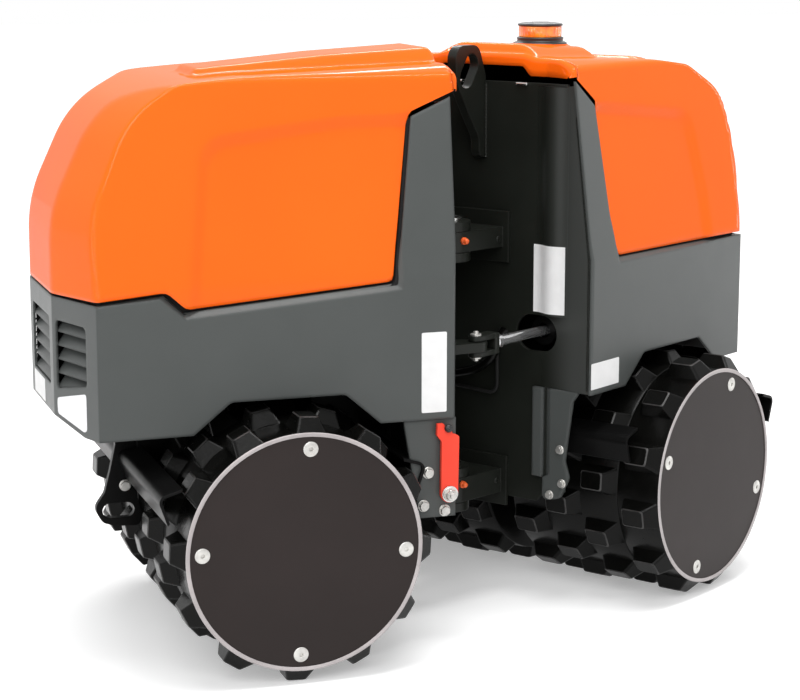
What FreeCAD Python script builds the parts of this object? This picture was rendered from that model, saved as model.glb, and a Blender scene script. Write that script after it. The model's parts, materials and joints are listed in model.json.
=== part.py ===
"""Articulated trench roller: two hooded halves on paired padfoot drums, hinged on a vertical steering joint."""
import FreeCAD
import Part
import math
import os

Vector = FreeCAD.Vector

# ---------------------------------------------------------------- driving dimensions, millimetres and degrees
# The origin is on the floor under the steering axis. The front half runs along -X, the rear half is steered.
steer_angle = 33.7

# Drums
drum_tip_radius = 270.0
lug_count = 12
lug_root_drop = 28.0
lug_foot_half_width = 31.0
lug_tip_half_width = 20.0
lug_outer_slope = 25.0
lug_inner_slope = 12.0
lug_row_width = 90.0
lug_row_pitch = 95.0
lug_root_sink = 2.0
drum_row_count = 3
front_drum_turn = -3.2
rear_drum_turn = 18.6
drum_half_width = 425.0
extension_width = 105.0
drum_inner_face = 34.0
drum_wall = 12.0
axle_distance = 441.0
end_plate_radius = 235.0
end_plate_thickness = 8.0
end_plate_recess = 2.0
end_plate_ledge = 20.0
screw_circle_radius = 208.5
screw_hole_radius = 6.5
axle_radius = 45.0
hub_disc = 12.0

# Body halves, seen from the steering axis outward
body_half_width = 306.0
roof_edge_half_width = 254.0
lean_start_height = 785.0
skirt_wall = 5.0
arch_clearance = 16.0
arch_depth = 64.0
arch_inner_foot = 248.0
arch_inner_shoulder = 322.0
arch_outer_shoulder = 558.0
arch_outer_foot = 635.0
end_strip_half_width = 133.0
end_chamfer_depth = 58.0
front_inner_edge = 86.0
rear_inner_edge = 106.0
inner_corner_radius = 10.0
front_side_length = 822.0
rear_side_length = 741.0
pillar_width_low = 220.0
pillar_width_high = 178.0
front_roof_inner = 68.0
rear_roof_inner = 131.0
rear_roof_corner = 105.0
rear_mouth_half_width = 115.0
hood_gap = 7.5
rim_band_width = 16.0
rim_slope_width = 12.0
hood_wall = 4.0
hinge_setback = 22.0
hinge_height = 700.0
hinge_side = 117.0
hinge_pin_radius = 6.0
hinge_arm_thickness = 10.0
hinge_arm_width = 26.0
hinge_arm_reach = 108.0
floor_pan_thickness = 6.0
hood_clearance = 8.0

# Hood roof and nose
roof_height = 1206.0
roof_edge_drop = 16.0
roof_inner_drop = 46.0
pillar_shoulder_drop = 92.0
rear_mouth_drop = 20.0
roof_band_half_width = 202.0
front_knee_height = 925.0
front_brow_setback = 90.0
front_brow_drop = 88.0
front_roof_end_setback = 185.0
front_roof_end_drop = 24.0
rear_knee_height = 1000.0
rear_brow_setback = 58.0
rear_brow_drop = 94.0
rear_roof_end_setback = 175.0
rear_roof_end_drop = 38.0
spine_half_width = 95.0
spine_foot_half_width = 130.0
spine_rise = 28.0
front_spine_start = 60.0
front_spine_end = 600.0
rear_spine_start = 140.0
rear_spine_end = 425.0
nose_spine_start = 520.0
nose_spine_end = 715.0
nose_spine_rise = 12.0

# Steering joint
wall_distance = 126.0
wall_thickness = 8.0
wall_flat_half_width = 165.0
wall_top_half_width = 235.0
front_wall_bottom = 212.0
rear_wall_bottom = 233.0
front_plate_bottom = 284.0
rear_wall_half_width = 182.0
rear_strip_offset = 150.0
rear_strip_width = 27.0
ear_radius = 52.0
ear_root_half_width = 66.0
ear_thickness = 20.0
flange_thickness = 8.0
flange_half_width = 80.0
flange_half_height = 56.0
joint_pin_radius = 22.0
joint_gap = 1.0
running_clearance = 0.1
upper_arm_thickness = 44.0
lower_arm_thickness = 55.0
upper_joint_height = 815.0
lower_joint_height = 268.0

# Lifting eye
eye_plate_thickness = 22.0
eye_rise = 24.0
eye_inner = 26.0
eye_slot_width = 47.0
eye_slot_height = 79.0
eye_slot_drop = 31.0
eye_slot_lean = 124.0
eye_tail_height = 985.0

# Steering cylinder
cylinder_rise = 54.0
rod_pin_distance = 160.0
rod_pin_forward = 10.0
barrel_pin_distance = 400.0
barrel_pin_offset = 157.0
rod_radius = 16.0
barrel_radius = 32.0
barrel_length = 240.0
barrel_eye_radius = 26.0
barrel_pin_radius = 12.0
rod_overlap = 30.0
fork_length = 48.0
fork_half_width = 17.0
fork_plate = 12.0
fork_gap = 1.0
cylinder_ear_thickness = 20.0
cylinder_ear_radius = 24.0
cylinder_window_width = 108.0
cylinder_window_height = 80.0
cylinder_window_offset = 153.0

# Carrier between the two drums of an axle
carrier_half_thickness = 24.0
carrier_outer = 692.0
tie_down_centre = 731.0
tie_down_height = 276.0
tie_down_slot_length = 68.0
tie_down_slot_width = 32.0
tie_down_half_thickness = 8.0
scraper_clearance = 12.0
scraper_reach = 50.0
scraper_bend_turn = 66.0
scraper_upper_turn = 59.0
scraper_lower_turn = 75.0
scraper_plate = 6.0
scraper_half_length = 410.0
front_inner_scraper_length = 305.0
rear_inner_scraper_length = 370.0

# Louvres in the nose of the front skirt
louvre_top = 714.0
louvre_bottom = 575.0
louvre_side_bottom = 597.0
louvre_start = 46.0
louvre_end = 168.0
end_louvre_half_width = 100.0
louvre_count = 5
louvre_pitch = 28.0
louvre_first = 578.0
louvre_depth = 22.0
louvre_rise = 26.0
louvre_blade = 3.0
louvre_lap = 4.0
skirt_end_bottom = 518.0
skirt_end_run = 262.0
end_pan_height = 522.0
end_pan_start = 604.0

# Shallow panel in each hood side
recess_depth = 8.0
recess_wall_shift = 4.5

# Heavy blocks on the floor pans
engine_start = 300.0
engine_length = 395.0
engine_width = 420.0
engine_height = 480.0
tank_start = 300.0
tank_length = 325.0
tank_side = -70.0
tank_width = 310.0
tank_height = 460.0

# Lock bar
bar_pivot = 102.0
bar_pivot_height = 335.0
bar_width = 37.0
bar_top = 483.0
bar_thickness = 10.0
bar_gap = 5.0
bar_pin_radius = 9.0
side_plate_half_width = 288.0
side_plate_thickness = 10.0

# Beacon
beacon_distance = 349.0
beacon_base_radius = 60.0
beacon_radius = 50.0
beacon_base_height = 16.0
beacon_foot_rise = 15.0
beacon_lens_height = 25.0
beacon_cap_height = 8.0

# ---------------------------------------------------------------- sizes that follow from others
arch_top = 2 * drum_tip_radius + arch_clearance
skirt_bottom = arch_top - arch_depth
cylinder_height = arch_top + cylinder_rise
roof_edge_height = roof_height - roof_edge_drop
roof_inner_height = roof_height - roof_inner_drop
pillar_shoulder_height = roof_height - pillar_shoulder_drop
rear_mouth_height = roof_height - rear_mouth_drop
eye_top = roof_height + eye_rise
eye_slot_centre_height = roof_height - eye_slot_drop
beacon_foot_height = roof_height + beacon_foot_rise
lug_root_radius = drum_tip_radius - lug_root_drop
lug_step = 360.0 / lug_count

# ---------------------------------------------------------------- plane shapes


def spot(plane, u, v, w=0.0):
    """A point of a drawing plane: XZ seen from the side, XY from above, YZ from the end."""
    if plane == "XZ":
        return Vector(u, w, v)
    if plane == "XY":
        return Vector(u, v, w)
    return Vector(w, u, v)


def outline(plane, corners, offset=0.0):
    """A closed face through corners (u, v) or (u, v, radius), with an arc at each corner that has a radius."""
    count = len(corners)
    runs = []
    for i in range(count):
        u, v = corners[i][0], corners[i][1]
        radius = corners[i][2] if len(corners[i]) > 2 else 0.0
        here = Vector(u, v, 0)
        if radius <= 0:
            runs.append((here, here, None))
            continue
        before = Vector(corners[i - 1][0], corners[i - 1][1], 0) - here
        after = Vector(corners[(i + 1) % count][0], corners[(i + 1) % count][1], 0) - here
        before.normalize()
        after.normalize()
        half = before.getAngle(after) / 2
        reach = radius / math.tan(half)
        middle = before + after
        middle.normalize()
        centre = here + middle * (radius / math.sin(half))
        crown = centre - middle * radius
        runs.append((here + before * reach, here + after * reach, crown))
    edges = []
    for i in range(count):
        start, end, crown = runs[i]
        if crown is not None:
            edges.append(Part.Arc(spot(plane, start.x, start.y, offset), spot(plane, crown.x, crown.y, offset),
                                  spot(plane, end.x, end.y, offset)).toShape())
        following = runs[(i + 1) % count][0]
        if end.sub(following).Length > 1e-6:
            edges.append(Part.makeLine(spot(plane, end.x, end.y, offset),
                                       spot(plane, following.x, following.y, offset)))
    return Part.Face(Part.Wire(edges))


def prism(plane, corners, low, high):
    """The outline carried from low to high along the axis that the plane lacks."""
    along = {"XZ": Vector(0, 1, 0), "XY": Vector(0, 0, 1), "YZ": Vector(1, 0, 0)}[plane]
    return outline(plane, corners, low).extrude(along * (high - low))


def box(x0, x1, y0, y1, z0, z1):
    return Part.makeBox(x1 - x0, y1 - y0, z1 - z0, Vector(x0, y0, z0))


def rod(radius, start, end):
    way = Vector(*end) - Vector(*start)
    return Part.makeCylinder(radius, way.Length, Vector(*start), way)


def mirrored(shape):
    """The same shape on the other side of the half's centre plane."""
    return shape.mirror(Vector(0, 0, 0), Vector(0, 1, 0))


def both_sides(shape):
    return Part.makeCompound([shape, mirrored(shape)])


def fused(shapes):
    return shapes[0].multiFuse(shapes[1:]).removeSplitter()


def obround(plane, u, v, length, width, low, high):
    """A long round-ended slot body; length runs along u."""
    reach = length / 2
    side = width / 2
    corners = [(u - reach, v - side, side * 0.999), (u + reach, v - side, side * 0.999),
               (u + reach, v + side, side * 0.999), (u - reach, v + side, side * 0.999)]
    return prism(plane, corners, low, high)


# ---------------------------------------------------------------- body forms


class Half:
    """Sizes that differ between the two halves."""

    def __init__(self, name, inner_edge, side_length, roof_inner, knee, brow, roof_end, drum_turn, inner_scraper):
        self.name = name
        self.drum_turn = drum_turn
        self.inner_scraper = inner_scraper
        self.inner_edge = inner_edge
        self.side_length = side_length
        self.roof_inner = roof_inner
        self.end = side_length + end_chamfer_depth
        self.knee = knee
        self.brow_setback = brow[0]
        self.brow_height = roof_height - brow[1]
        self.roof_end_setback = roof_end[0]
        self.roof_end_height = roof_height - roof_end[1]


front = Half("front", front_inner_edge, front_side_length, front_roof_inner, front_knee_height,
             (front_brow_setback, front_brow_drop), (front_roof_end_setback, front_roof_end_drop),
             front_drum_turn, front_inner_scraper_length)
rear = Half("rear", rear_inner_edge, rear_side_length, rear_roof_inner, rear_knee_height,
            (rear_brow_setback, rear_brow_drop), (rear_roof_end_setback, rear_roof_end_drop),
            rear_drum_turn, rear_inner_scraper_length)


def lean_prism(half, inset, low, high):
    """The body's section: upright sides that lean in above the hood line, and a banded roof."""
    side = body_half_width - inset
    edge = roof_edge_half_width - inset
    band = roof_band_half_width - inset * 0.5
    corners = [(-side, 0), (side, 0), (side, lean_start_height), (edge, roof_edge_height - inset, 14),
               (band, roof_height - inset), (-band, roof_height - inset), (-edge, roof_edge_height - inset, 14),
               (-side, lean_start_height)]
    return prism("YZ", corners, low, high)


def nose_corners(half, inset, inner, bottom, setback):
    """The body from the side: upright end, a sloped nose, a brow and a roof that falls gently outward."""
    end = half.end - inset - setback
    drop = inset + setback * 0.12
    return [(inner, bottom), (end, bottom), (end, half.knee, 100), (end - half.brow_setback, half.brow_height, 60),
            (end - half.roof_end_setback, half.roof_end_height - drop, 140),
            (half.roof_inner, roof_height - drop), (inner, roof_height - drop)]


def chamfer_prism(half, inset):
    """The side's own nose profile carried slantwise, so that it cuts the chamfer on the nose and the roof edge."""
    run = body_half_width - end_strip_half_width
    reach = 500.0
    corners = nose_corners(half, inset, -400, -100, end_chamfer_depth)
    face = outline("XZ", corners, -reach)
    shift = -(reach - body_half_width) * end_chamfer_depth / run
    face.translate(Vector(shift, 0, 0))
    return face.extrude(Vector(2 * reach * end_chamfer_depth / run, 2 * reach, 0))


def body_form(half, inset, inner, bottom):
    """The closed outer form of one half, set in by the inset."""
    form = prism("XZ", nose_corners(half, inset, inner, bottom, 0), -500, 500)
    near = chamfer_prism(half, inset)
    form = form.common(near).common(mirrored(near))
    return form.common(lean_prism(half, inset, -400, 1200))


def hood_line(half, gap):
    """The side-view corners of the hood's lower edge from the outer end up the pillar, raised by the gap."""
    level = lean_start_height
    if half is front:
        rail = [(half.side_length - 2, level - 16), (684.0 - gap * 0.6, level - 3), (645.0 - gap * 0.6, level - 39)]
        pillar = [(219.0, level - 2), (211.0, level + 70), (206.0, level + 105)]
        end_level = level - 20
    else:
        rail = [(half.side_length - 13, level - 4), (500.0, level - 1)]
        pillar = [(225.0, level + 1), (211.0, level + 43), (199.0, level + 88), (197.0, level + 105)]
        end_level = level - 5
    pillar.append((pillar_width_high, pillar_shoulder_height))
    rail = [(half.end + 60, end_level)] + rail
    points = [(x, z + gap) for x, z in rail] + [(x + gap, z + gap) for x, z in pillar]
    return points + [(half.roof_inner - 30, roof_inner_height + 12 + gap)]


def rim_line(half):
    """Where the skirt's outer face ends and its rim slopes in, corner for corner with the hood's lower edge."""
    level = lean_start_height
    if half is front:
        side = [(half.side_length, level - 25), (701.0, level - 17), (647.0, level - 61), (199.0, level - 24),
                (189.0, level + 69), (198.0, level + 105)]
        end_level = level - 27
    else:
        side = [(half.side_length, level - 11), (500.0, level - 16), (216.0, level - 19), (204.0, level + 15),
                (195.0, level + 80), (192.0, level + 105)]
        end_level = level - 11
    return [(half.end + 60, end_level)] + side


def skirt_side(half):
    """The skirt seen from the side, with the drum arch and the pillar beside the joint."""
    low = hood_line(half, -hood_gap)
    tip_x, tip_z = low[-1]
    shoulder_x, shoulder_z = low[-2]
    climb = (tip_z - shoulder_z) / (shoulder_x - tip_x)
    corner_height = shoulder_z + climb * (shoulder_x - half.inner_edge)
    return [(half.inner_edge, skirt_bottom), (arch_inner_foot, skirt_bottom), (arch_inner_shoulder, arch_top, 20),
            (arch_outer_shoulder, arch_top, 20), (arch_outer_foot, skirt_bottom + 2), (half.end + 60, skirt_bottom),
            ] + low[:-1] + [(half.inner_edge, corner_height)]


def inner_corner_cut(half):
    """What rounds the two upright corners beside the joint."""
    reach = body_half_width + 50
    corners = [(half.inner_edge, -body_half_width, inner_corner_radius), (half.end + 90, -body_half_width),
               (half.end + 90, body_half_width), (half.inner_edge, body_half_width, inner_corner_radius)]
    block = box(half.inner_edge - 1, half.inner_edge + 40, -reach, reach, 0, 1400)
    return block.cut(prism("XY", corners, 0, 1400))


# ---------------------------------------------------------------- pieces of one half


def rim_band(half):
    """The solid band inside the skirt's upper edge that its sloping rim is made in."""
    top = hood_line(half, -hood_gap)[:7]
    low = [(x - 14, z - 16) for x, z in rim_line(half)]
    low[0] = (half.end + 60, low[0][1])
    side = body_half_width
    return prism("XZ", top + low[::-1], -side, -side + rim_band_width)


def rim_slope(half):
    """What is taken off outside the sloping rim: from the skirt's outer face in to the hood's lower edge."""
    far = [(half.inner_edge - 60, lean_start_height + 105), (half.inner_edge - 60, 1400), (half.end + 60, 1400)]
    wires = []
    for corners, y in ((rim_line(half) + far, -body_half_width - rim_slope_width * 0.2),
                       (hood_line(half, -hood_gap)[:7] + far, -body_half_width + rim_slope_width)):
        points = [Vector(x, y, z) for x, z in corners]
        wires.append(Part.makePolygon(points + points[:1]))
    return Part.makeLoft(wires, True, True)


def louvre(wide_start, wide_end, start_bottom, end_bottom):
    """A louvred opening in an upright wall at x = 0 facing +X: what is cut out, and its blades."""
    corners = [(wide_start, start_bottom, 8), (wide_end, end_bottom, 8), (wide_end, louvre_top, 12),
               (wide_start, louvre_top, 12)]
    opening = prism("YZ", corners, -40, 20)
    blades = []
    front_edge = 2.0 - skirt_wall
    for k in range(louvre_count):
        z = louvre_first + louvre_pitch * k
        section = [(front_edge, z), (front_edge - louvre_depth, z + louvre_rise),
                   (front_edge - louvre_depth - louvre_blade, z + louvre_rise), (front_edge - louvre_blade, z)]
        blades.append(prism("XZ", section, wide_start - louvre_lap, wide_end + louvre_lap))
    return opening, blades


def nose_louvres(half):
    """The three louvred openings of the front skirt: one in the end and one in each chamfer."""
    turn = -math.degrees(math.atan2(end_chamfer_depth, body_half_width - end_strip_half_width))
    wide = end_louvre_half_width
    opening, blades = louvre(-wide, wide, louvre_bottom, louvre_bottom)
    openings = [opening]
    for shape in [opening] + blades:
        shape.translate(Vector(half.end, 0, 0))
    side_opening, side_blades = louvre(louvre_start, louvre_end, louvre_side_bottom, louvre_bottom)
    for shape in [side_opening] + side_blades:
        shape.rotate(Vector(0, 0, 0), Vector(0, 0, 1), turn)
        shape.translate(Vector(half.side_length, -body_half_width, 0))
    openings += [side_opening, mirrored(side_opening)]
    blades += side_blades + [mirrored(blade) for blade in side_blades]
    return openings, blades


def make_skirt(half):
    region = prism("XZ", skirt_side(half), -500, 500)
    outer = body_form(half, 0, half.inner_edge, 0)
    inner = body_form(half, skirt_wall, half.inner_edge - 10, -10)
    shell = outer.cut(inner)
    band = rim_band(half).common(outer)
    slope = rim_slope(half)
    shell = shell.fuse(band).fuse(mirrored(band)).cut(slope).cut(mirrored(slope))
    skirt = shell.common(region).cut(inner_corner_cut(half))
    end_foot = prism("YZ", [(-skirt_end_run, skirt_bottom - 2), (skirt_end_run, skirt_bottom - 2),
                            (end_strip_half_width, skirt_end_bottom), (-end_strip_half_width, skirt_end_bottom)],
                     half.side_length - 60, half.end + 60)
    skirt = skirt.cut(end_foot)
    if half is front:
        openings, blades = nose_louvres(half)
        for opening in openings:
            skirt = skirt.cut(opening)
        skirt = skirt.multiFuse(blades)
    return skirt.removeSplitter()


def make_roof_pads(half, inset):
    """The long raised spine, and on the rear hood a second one over the nose."""
    deep = 60.0
    flank = (spine_foot_half_width - spine_half_width) / spine_rise
    foot_width = spine_foot_half_width + flank * deep - inset
    top = roof_height + spine_rise - inset
    if half is front:
        start, end, fall = front_spine_start, front_spine_end, 42.0
    else:
        start, end, fall = rear_spine_start, rear_spine_end, 22.0
    section = [(-foot_width, top - spine_rise - deep), (foot_width, top - spine_rise - deep),
               (spine_half_width - inset * 0.6, top, 8), (-spine_half_width + inset * 0.6, top, 8)]
    side = [(start - 10 + inset, roof_height - deep), (end + 60 - inset, roof_height - deep),
            (end - 40 - inset, top - fall + 6, 30), (start + 20 + inset, top + 1), (start - 4 + inset, top - 30)]
    pads = [prism("YZ", section, 0, 900).common(prism("XZ", side, -400, 400))]
    if half is rear:
        seat = beacon_base_radius + 3 - inset
        level = beacon_foot_height - inset
        pads[0] = pads[0].fuse(rod(seat, (beacon_distance, 0, roof_height - deep), (beacon_distance, 0, level)))
        pads[0] = pads[0].cut(rod(seat + 2 * inset, (beacon_distance, 0, level), (beacon_distance, 0, level + 80)))
    if half is rear:
        high = roof_height - 24 + nose_spine_rise - inset
        side = [(nose_spine_start + inset, high - 60), (nose_spine_end - inset, high - 80),
                (nose_spine_end - 30 - inset, high - 22, 40), (nose_spine_start + 30 + inset, high, 40)]
        section = [(-160 + inset, high - 100), (160 - inset, high - 100), (118 - inset, high + 20),
                   (-118 + inset, high + 20)]
        pads.append(prism("YZ", section, 0, 900).common(prism("XZ", side, -400, 400)))
    return pads


def roof_plan(half, inset):
    """The hood's outline from above at its inner end; the rear one follows the bent joint wall."""
    far = half.end + 90
    edge = half.roof_inner + inset
    if half is front:
        return prism("XY", [(edge, -400), (far, -400), (far, 400), (edge, 400)], 0, 1400)
    corner = rear_roof_corner + inset
    flat = wall_flat_half_width
    lean = (half.roof_inner - rear_roof_corner) / (roof_edge_half_width - flat)
    tip = corner - lean * (400 - roof_edge_half_width)
    return prism("XY", [(tip, -400), (far, -400), (far, 400), (tip, 400), (edge, flat), (edge, -flat)], 0, 1400)


def hood_recess(half, shift):
    """What sinks the shallow panel into the near side of a hood; it runs out at the lower edge and the pillar."""
    low = skirt_bottom
    back = half.inner_edge - 40
    if half is front:
        outer = [(645, low), (639, 806), (629, 890), (615, 1014), (604, 1059), (583, 1078), (541, 1085), (434, 1096),
                 (313, 1116), (back, 1116), (back, low)]
        inner = [(617, low), (613, 805), (600, 889), (587, 1010), (578, 1034), (563, 1050), (536, 1058), (435, 1068),
                 (314, 1087), (back, 1094), (back, low)]
    else:
        outer = [(615, low), (608, 870), (583, 984), (570, 1045), (548, 1072), (504, 1084), (340, 1101),
                 (back, 1122), (back, low)]
        inner = [(583, low), (578, 870), (556, 978), (546, 1023), (516, 1051), (458, 1064), (338, 1087),
                 (back, 1108), (back, low)]
    lean = math.degrees(math.atan2(body_half_width - roof_edge_half_width, roof_edge_height - lean_start_height))
    raise_by = roof_height - 1206.0
    wires = []
    for corners, deep in ((outer, 0.0), (inner, recess_depth)):
        points = [Vector(x, deep, z - lean_start_height) for x, z in corners]
        wires.append(Part.makePolygon(points + points[:1]))
    tool = Part.makeLoft(wires, True, True)
    cover = Part.Face(wires[0]).extrude(Vector(0, -30, 0))
    tool = tool.fuse(cover)
    tool.translate(Vector(0, shift, 0))
    tool.rotate(Vector(0, 0, 0), Vector(1, 0, 0), -lean)
    tool.translate(Vector(0, -body_half_width, lean_start_height))
    return tool


def make_hood(half):
    line = hood_line(half, 0)
    region = prism("XZ", line + [(half.roof_inner - 30, 1400), (half.end + 60, 1400)], -500, 500)
    outer = body_form(half, 0, 0, 0).multiFuse(make_roof_pads(half, 0)).common(roof_plan(half, 0))
    inner = body_form(half, hood_wall, 0, -10).multiFuse(make_roof_pads(half, hood_wall))
    inner = inner.common(roof_plan(half, hood_wall))
    panel = hood_recess(half, 0)
    backing = hood_recess(half, recess_wall_shift)
    outer = outer.cut(panel).cut(mirrored(panel))
    inner = inner.cut(backing).cut(mirrored(backing))
    hood = outer.cut(inner).common(region)
    below = roof_inner_height + 1
    hood = hood.cut(box(0, half.roof_inner + 30, -wall_top_half_width, wall_top_half_width, 1000, below))
    if half is rear:
        mouth = rear_mouth_half_width
        hood = hood.cut(box(0, half.roof_inner + hood_wall + 1, -mouth, mouth, 1000, rear_mouth_height))
    return hood.removeSplitter()


def hinge_points(half):
    """The gooseneck arm from its pivot inside the skirt, over the rim, to the hood's nose."""
    x = half.end - skirt_wall - hinge_setback
    z = hinge_height
    return x, z


def make_hood_arms(half):
    """The two gooseneck arms that carry the hood on its hinges."""
    x, z = hinge_points(half)
    face = half.end - hood_wall
    w = hinge_arm_width / 2
    back = x - hinge_arm_reach
    path = [(x, z - w), (back + w, z - w, 20), (back - w, z + 20, 20), (back - w, z + 55, 30),
            (x - 88, z + 104, 40), (x - 40, z + 140, 40), (face, z + 162), (face, z + 136), (x - 30, z + 114, 30),
            (x - 68, z + 84, 30), (back + w, z + 46, 20), (back + w, z + w, 8), (x, z + w)]
    solids = []
    for side in (1, -1):
        start = side * hinge_side - hinge_arm_thickness / 2
        arm = prism("XZ", path, start, start + hinge_arm_thickness)
        eye = rod(w, (x, start, z), (x, start + hinge_arm_thickness, z))
        bore = rod(hinge_pin_radius + running_clearance, (x, start - 1, z), (x, start + hinge_arm_thickness + 1, z))
        solids.append(fused([arm, eye]).cut(bore))
    return solids


def make_hood_hinges(half):
    """The brackets on the skirt's end with the pins that the gooseneck arms turn on."""
    x, z = hinge_points(half)
    face = half.end - skirt_wall
    solids = []
    for side in (1, -1):
        middle = side * hinge_side
        reach = hinge_arm_thickness / 2 + joint_gap
        cheeks = [box(x - 12, face, middle + reach, middle + reach + 6, z - 14, z + 12),
                  box(x - 12, face, middle - reach - 6, middle - reach, z - 14, z + 12)]
        pin = rod(hinge_pin_radius, (x, middle - reach - 6, z), (x, middle + reach + 6, z))
        solids.append(fused(cheeks + [pin]))
    return solids


def make_floor_pan(half):
    inset = skirt_wall
    top = floor_pan_thickness
    inner = wall_distance + wall_thickness
    end = half.end - inset
    low = [(inner, skirt_bottom + 4), (arch_inner_foot, skirt_bottom + 4),
           (arch_inner_shoulder, arch_top + 4), (arch_outer_shoulder, arch_top + 4),
           (end_pan_start, end_pan_height), (end + 20, end_pan_height)]
    high = [(x, z + top) for x, z in reversed(low)]
    pan = prism("XZ", low + high, -body_half_width, body_half_width)
    return pan.common(body_form(half, inset, half.inner_edge, 0))


def make_joint_wall(half):
    """The bent plate that closes the half towards the joint, down to the lower arms."""
    s = wall_distance
    t = wall_thickness
    edge = half.inner_edge + 8
    reach = body_half_width
    face = [(s, -wall_flat_half_width), (s, wall_flat_half_width), (edge, reach), (edge + t, reach),
            (s + t, wall_flat_half_width), (s + t, -wall_flat_half_width), (edge + t, -reach), (edge, -reach)]
    plate = prism("XY", face, skirt_bottom, roof_inner_height - hood_clearance)
    upper = plate.common(body_form(half, skirt_wall, 0, -10))
    if half is front:
        side, foot, corner_run, corner_rise = wall_flat_half_width, front_wall_bottom, 64.0, 36.0
    else:
        side, foot, corner_run, corner_rise = rear_wall_half_width, rear_wall_bottom, 25.0, 29.0
    corners = [(-side, skirt_bottom), (-side, foot + corner_rise), (-side + corner_run, foot),
               (side - corner_run, foot), (side, foot + corner_rise), (side, skirt_bottom)]
    lower = prism("YZ", corners, s, s + t)
    wall = fused([upper, lower])
    above = prism("XZ", hood_line(half, -hood_gap) + [(0, 1400), (half.end, 1400)], wall_top_half_width - 6, 400)
    wall = wall.cut(above).cut(mirrored(above))
    if half is rear:
        window = obround("YZ", -cylinder_window_offset, cylinder_height, cylinder_window_width,
                         cylinder_window_height, s - 60, s + 60)
        wall = wall.cut(window)
    return wall


def make_lower_frame(half):
    """The two plates that hang from the skirt beside the lower joint."""
    if half is front:
        inner = half.inner_edge - 2
        side = side_plate_half_width
        corners = [(inner, front_plate_bottom), (inner + 78, front_plate_bottom), (inner + 113, skirt_bottom),
                   (inner, skirt_bottom)]
        plate = prism("XZ", corners, -side - side_plate_thickness, -side)
        tie = box(wall_distance, wall_distance + wall_thickness, wall_flat_half_width, side,
                  front_plate_bottom + 20, skirt_bottom)
        whole = fused([plate, mirrored(tie)])
        return [whole, mirrored(whole)]
    low = rear_wall_bottom
    corners = [(177, low + 7, 12), (223, low + 17, 14), (246, low + 65, 20), (234, low + 102, 20), (240, low + 147),
               (253, low + 237), (269, skirt_bottom), (192, skirt_bottom), (192, low + 67), (177, low + 59)]
    face = wall_distance
    plate = prism("YZ", corners, face - 8, face)
    tab = prism("YZ", [(rear_wall_half_width - 1, low + 29), (228, low + 29), (232, skirt_bottom),
                       (rear_wall_half_width - 1, skirt_bottom)], face, face + wall_thickness)
    plate = fused([plate, tab]).cut(make_joint_wall(rear))
    strip = box(face - 10, face, rear_strip_offset, rear_strip_offset + rear_strip_width - 0.5, low + 60,
                skirt_bottom)
    return [plate, mirrored(plate), strip, mirrored(strip)]


def make_carrier(half):
    """The box plate between the drums, hung from the floor pan and holding the axle."""
    half_t = carrier_half_thickness
    inner = wall_distance + wall_thickness
    outline_side = [(inner, skirt_bottom + 4), (inner, 330), (axle_distance - 110, 190, 60),
                    (axle_distance + 110, 190, 60), (carrier_outer - 30, 300), (carrier_outer, 330),
                    (carrier_outer, end_pan_height), (end_pan_start, end_pan_height),
                    (arch_outer_shoulder, arch_top + 4), (arch_inner_shoulder, arch_top + 4),
                    (arch_inner_foot, skirt_bottom + 4)]
    body = prism("XZ", outline_side, -half_t, half_t)
    bore = rod(axle_radius + running_clearance, (axle_distance, -half_t - 1, drum_tip_radius),
               (axle_distance, half_t + 1, drum_tip_radius))
    return body.cut(bore)


def make_tie_down(half):
    """The eye plate at the outer end of the carrier, from the floor pan down to its slot."""
    x, z = tie_down_centre, tie_down_height
    thick = tie_down_half_thickness
    corners = [(x - 41, end_pan_height), (x + 7, end_pan_height), (x + 4, z + 140), (x + 16, z + 86, 30),
               (x + 29, z + 38, 20), (x + 51, z + 7, 22), (x + 34, z - 25, 20), (x + 7, z - 34, 20),
               (x - 45, z - 36, 12), (x - 50, z - 10, 14), (x - 41, z + 24)]
    plate = prism("XZ", corners, -thick, thick)
    slot = obround("XZ", x, z, tie_down_slot_length, tie_down_slot_width, -thick - 1, thick + 1)
    return plate.cut(slot).cut(make_carrier(half))


def scraper_bar(half, way, length):
    """A bent plate along the drums, past the outer side of the axle (way 1) or the side of the joint (way -1)."""
    near = drum_tip_radius + scraper_clearance
    t = scraper_plate

    def spot_at(radius, turn):
        a = math.radians(turn)
        return axle_distance + way * radius * math.sin(a), drum_tip_radius + radius * math.cos(a)

    upper = spot_at(near, scraper_upper_turn)
    bend = spot_at(near + scraper_reach - scraper_clearance, scraper_bend_turn)
    lower = spot_at(near, scraper_lower_turn)
    inner_upper = spot_at(near - 3, scraper_upper_turn + 1.1)
    inner_bend = spot_at(near + scraper_reach - scraper_clearance - 1.4 * t, scraper_bend_turn + 0.1)
    inner_lower = spot_at(near - 3, scraper_lower_turn - 1.1)
    corners = [upper, (bend[0], bend[1], 16), lower, inner_lower, (inner_bend[0], inner_bend[1], 10), inner_upper]
    start = tie_down_half_thickness if way > 0 else carrier_half_thickness
    bar = prism("XZ", corners, start, length)
    return bar.cut(make_carrier(half))


def make_scrapers(half):
    """The bars across both sides of the drums, welded to the carrier and its eye plate."""
    inner = scraper_bar(half, -1, half.inner_scraper)
    for plate in make_lower_frame(half):
        inner = inner.cut(plate)
    bars = [scraper_bar(half, 1, scraper_half_length), inner]
    return bars + [mirrored(bar) for bar in bars]


def make_engine():
    """The diesel engine and its pump, as one block on the floor pan."""
    base = arch_top + 4 + floor_pan_thickness
    return box(engine_start, engine_start + engine_length, -engine_width / 2, engine_width / 2, base,
               base + engine_height)


def make_tank():
    """The fuel and hydraulic oil tanks, as one block on the floor pan."""
    base = arch_top + 4 + floor_pan_thickness
    return box(tank_start, tank_start + tank_length, tank_side, tank_side + tank_width, base, base + tank_height)


# ---------------------------------------------------------------- steering joint


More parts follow.
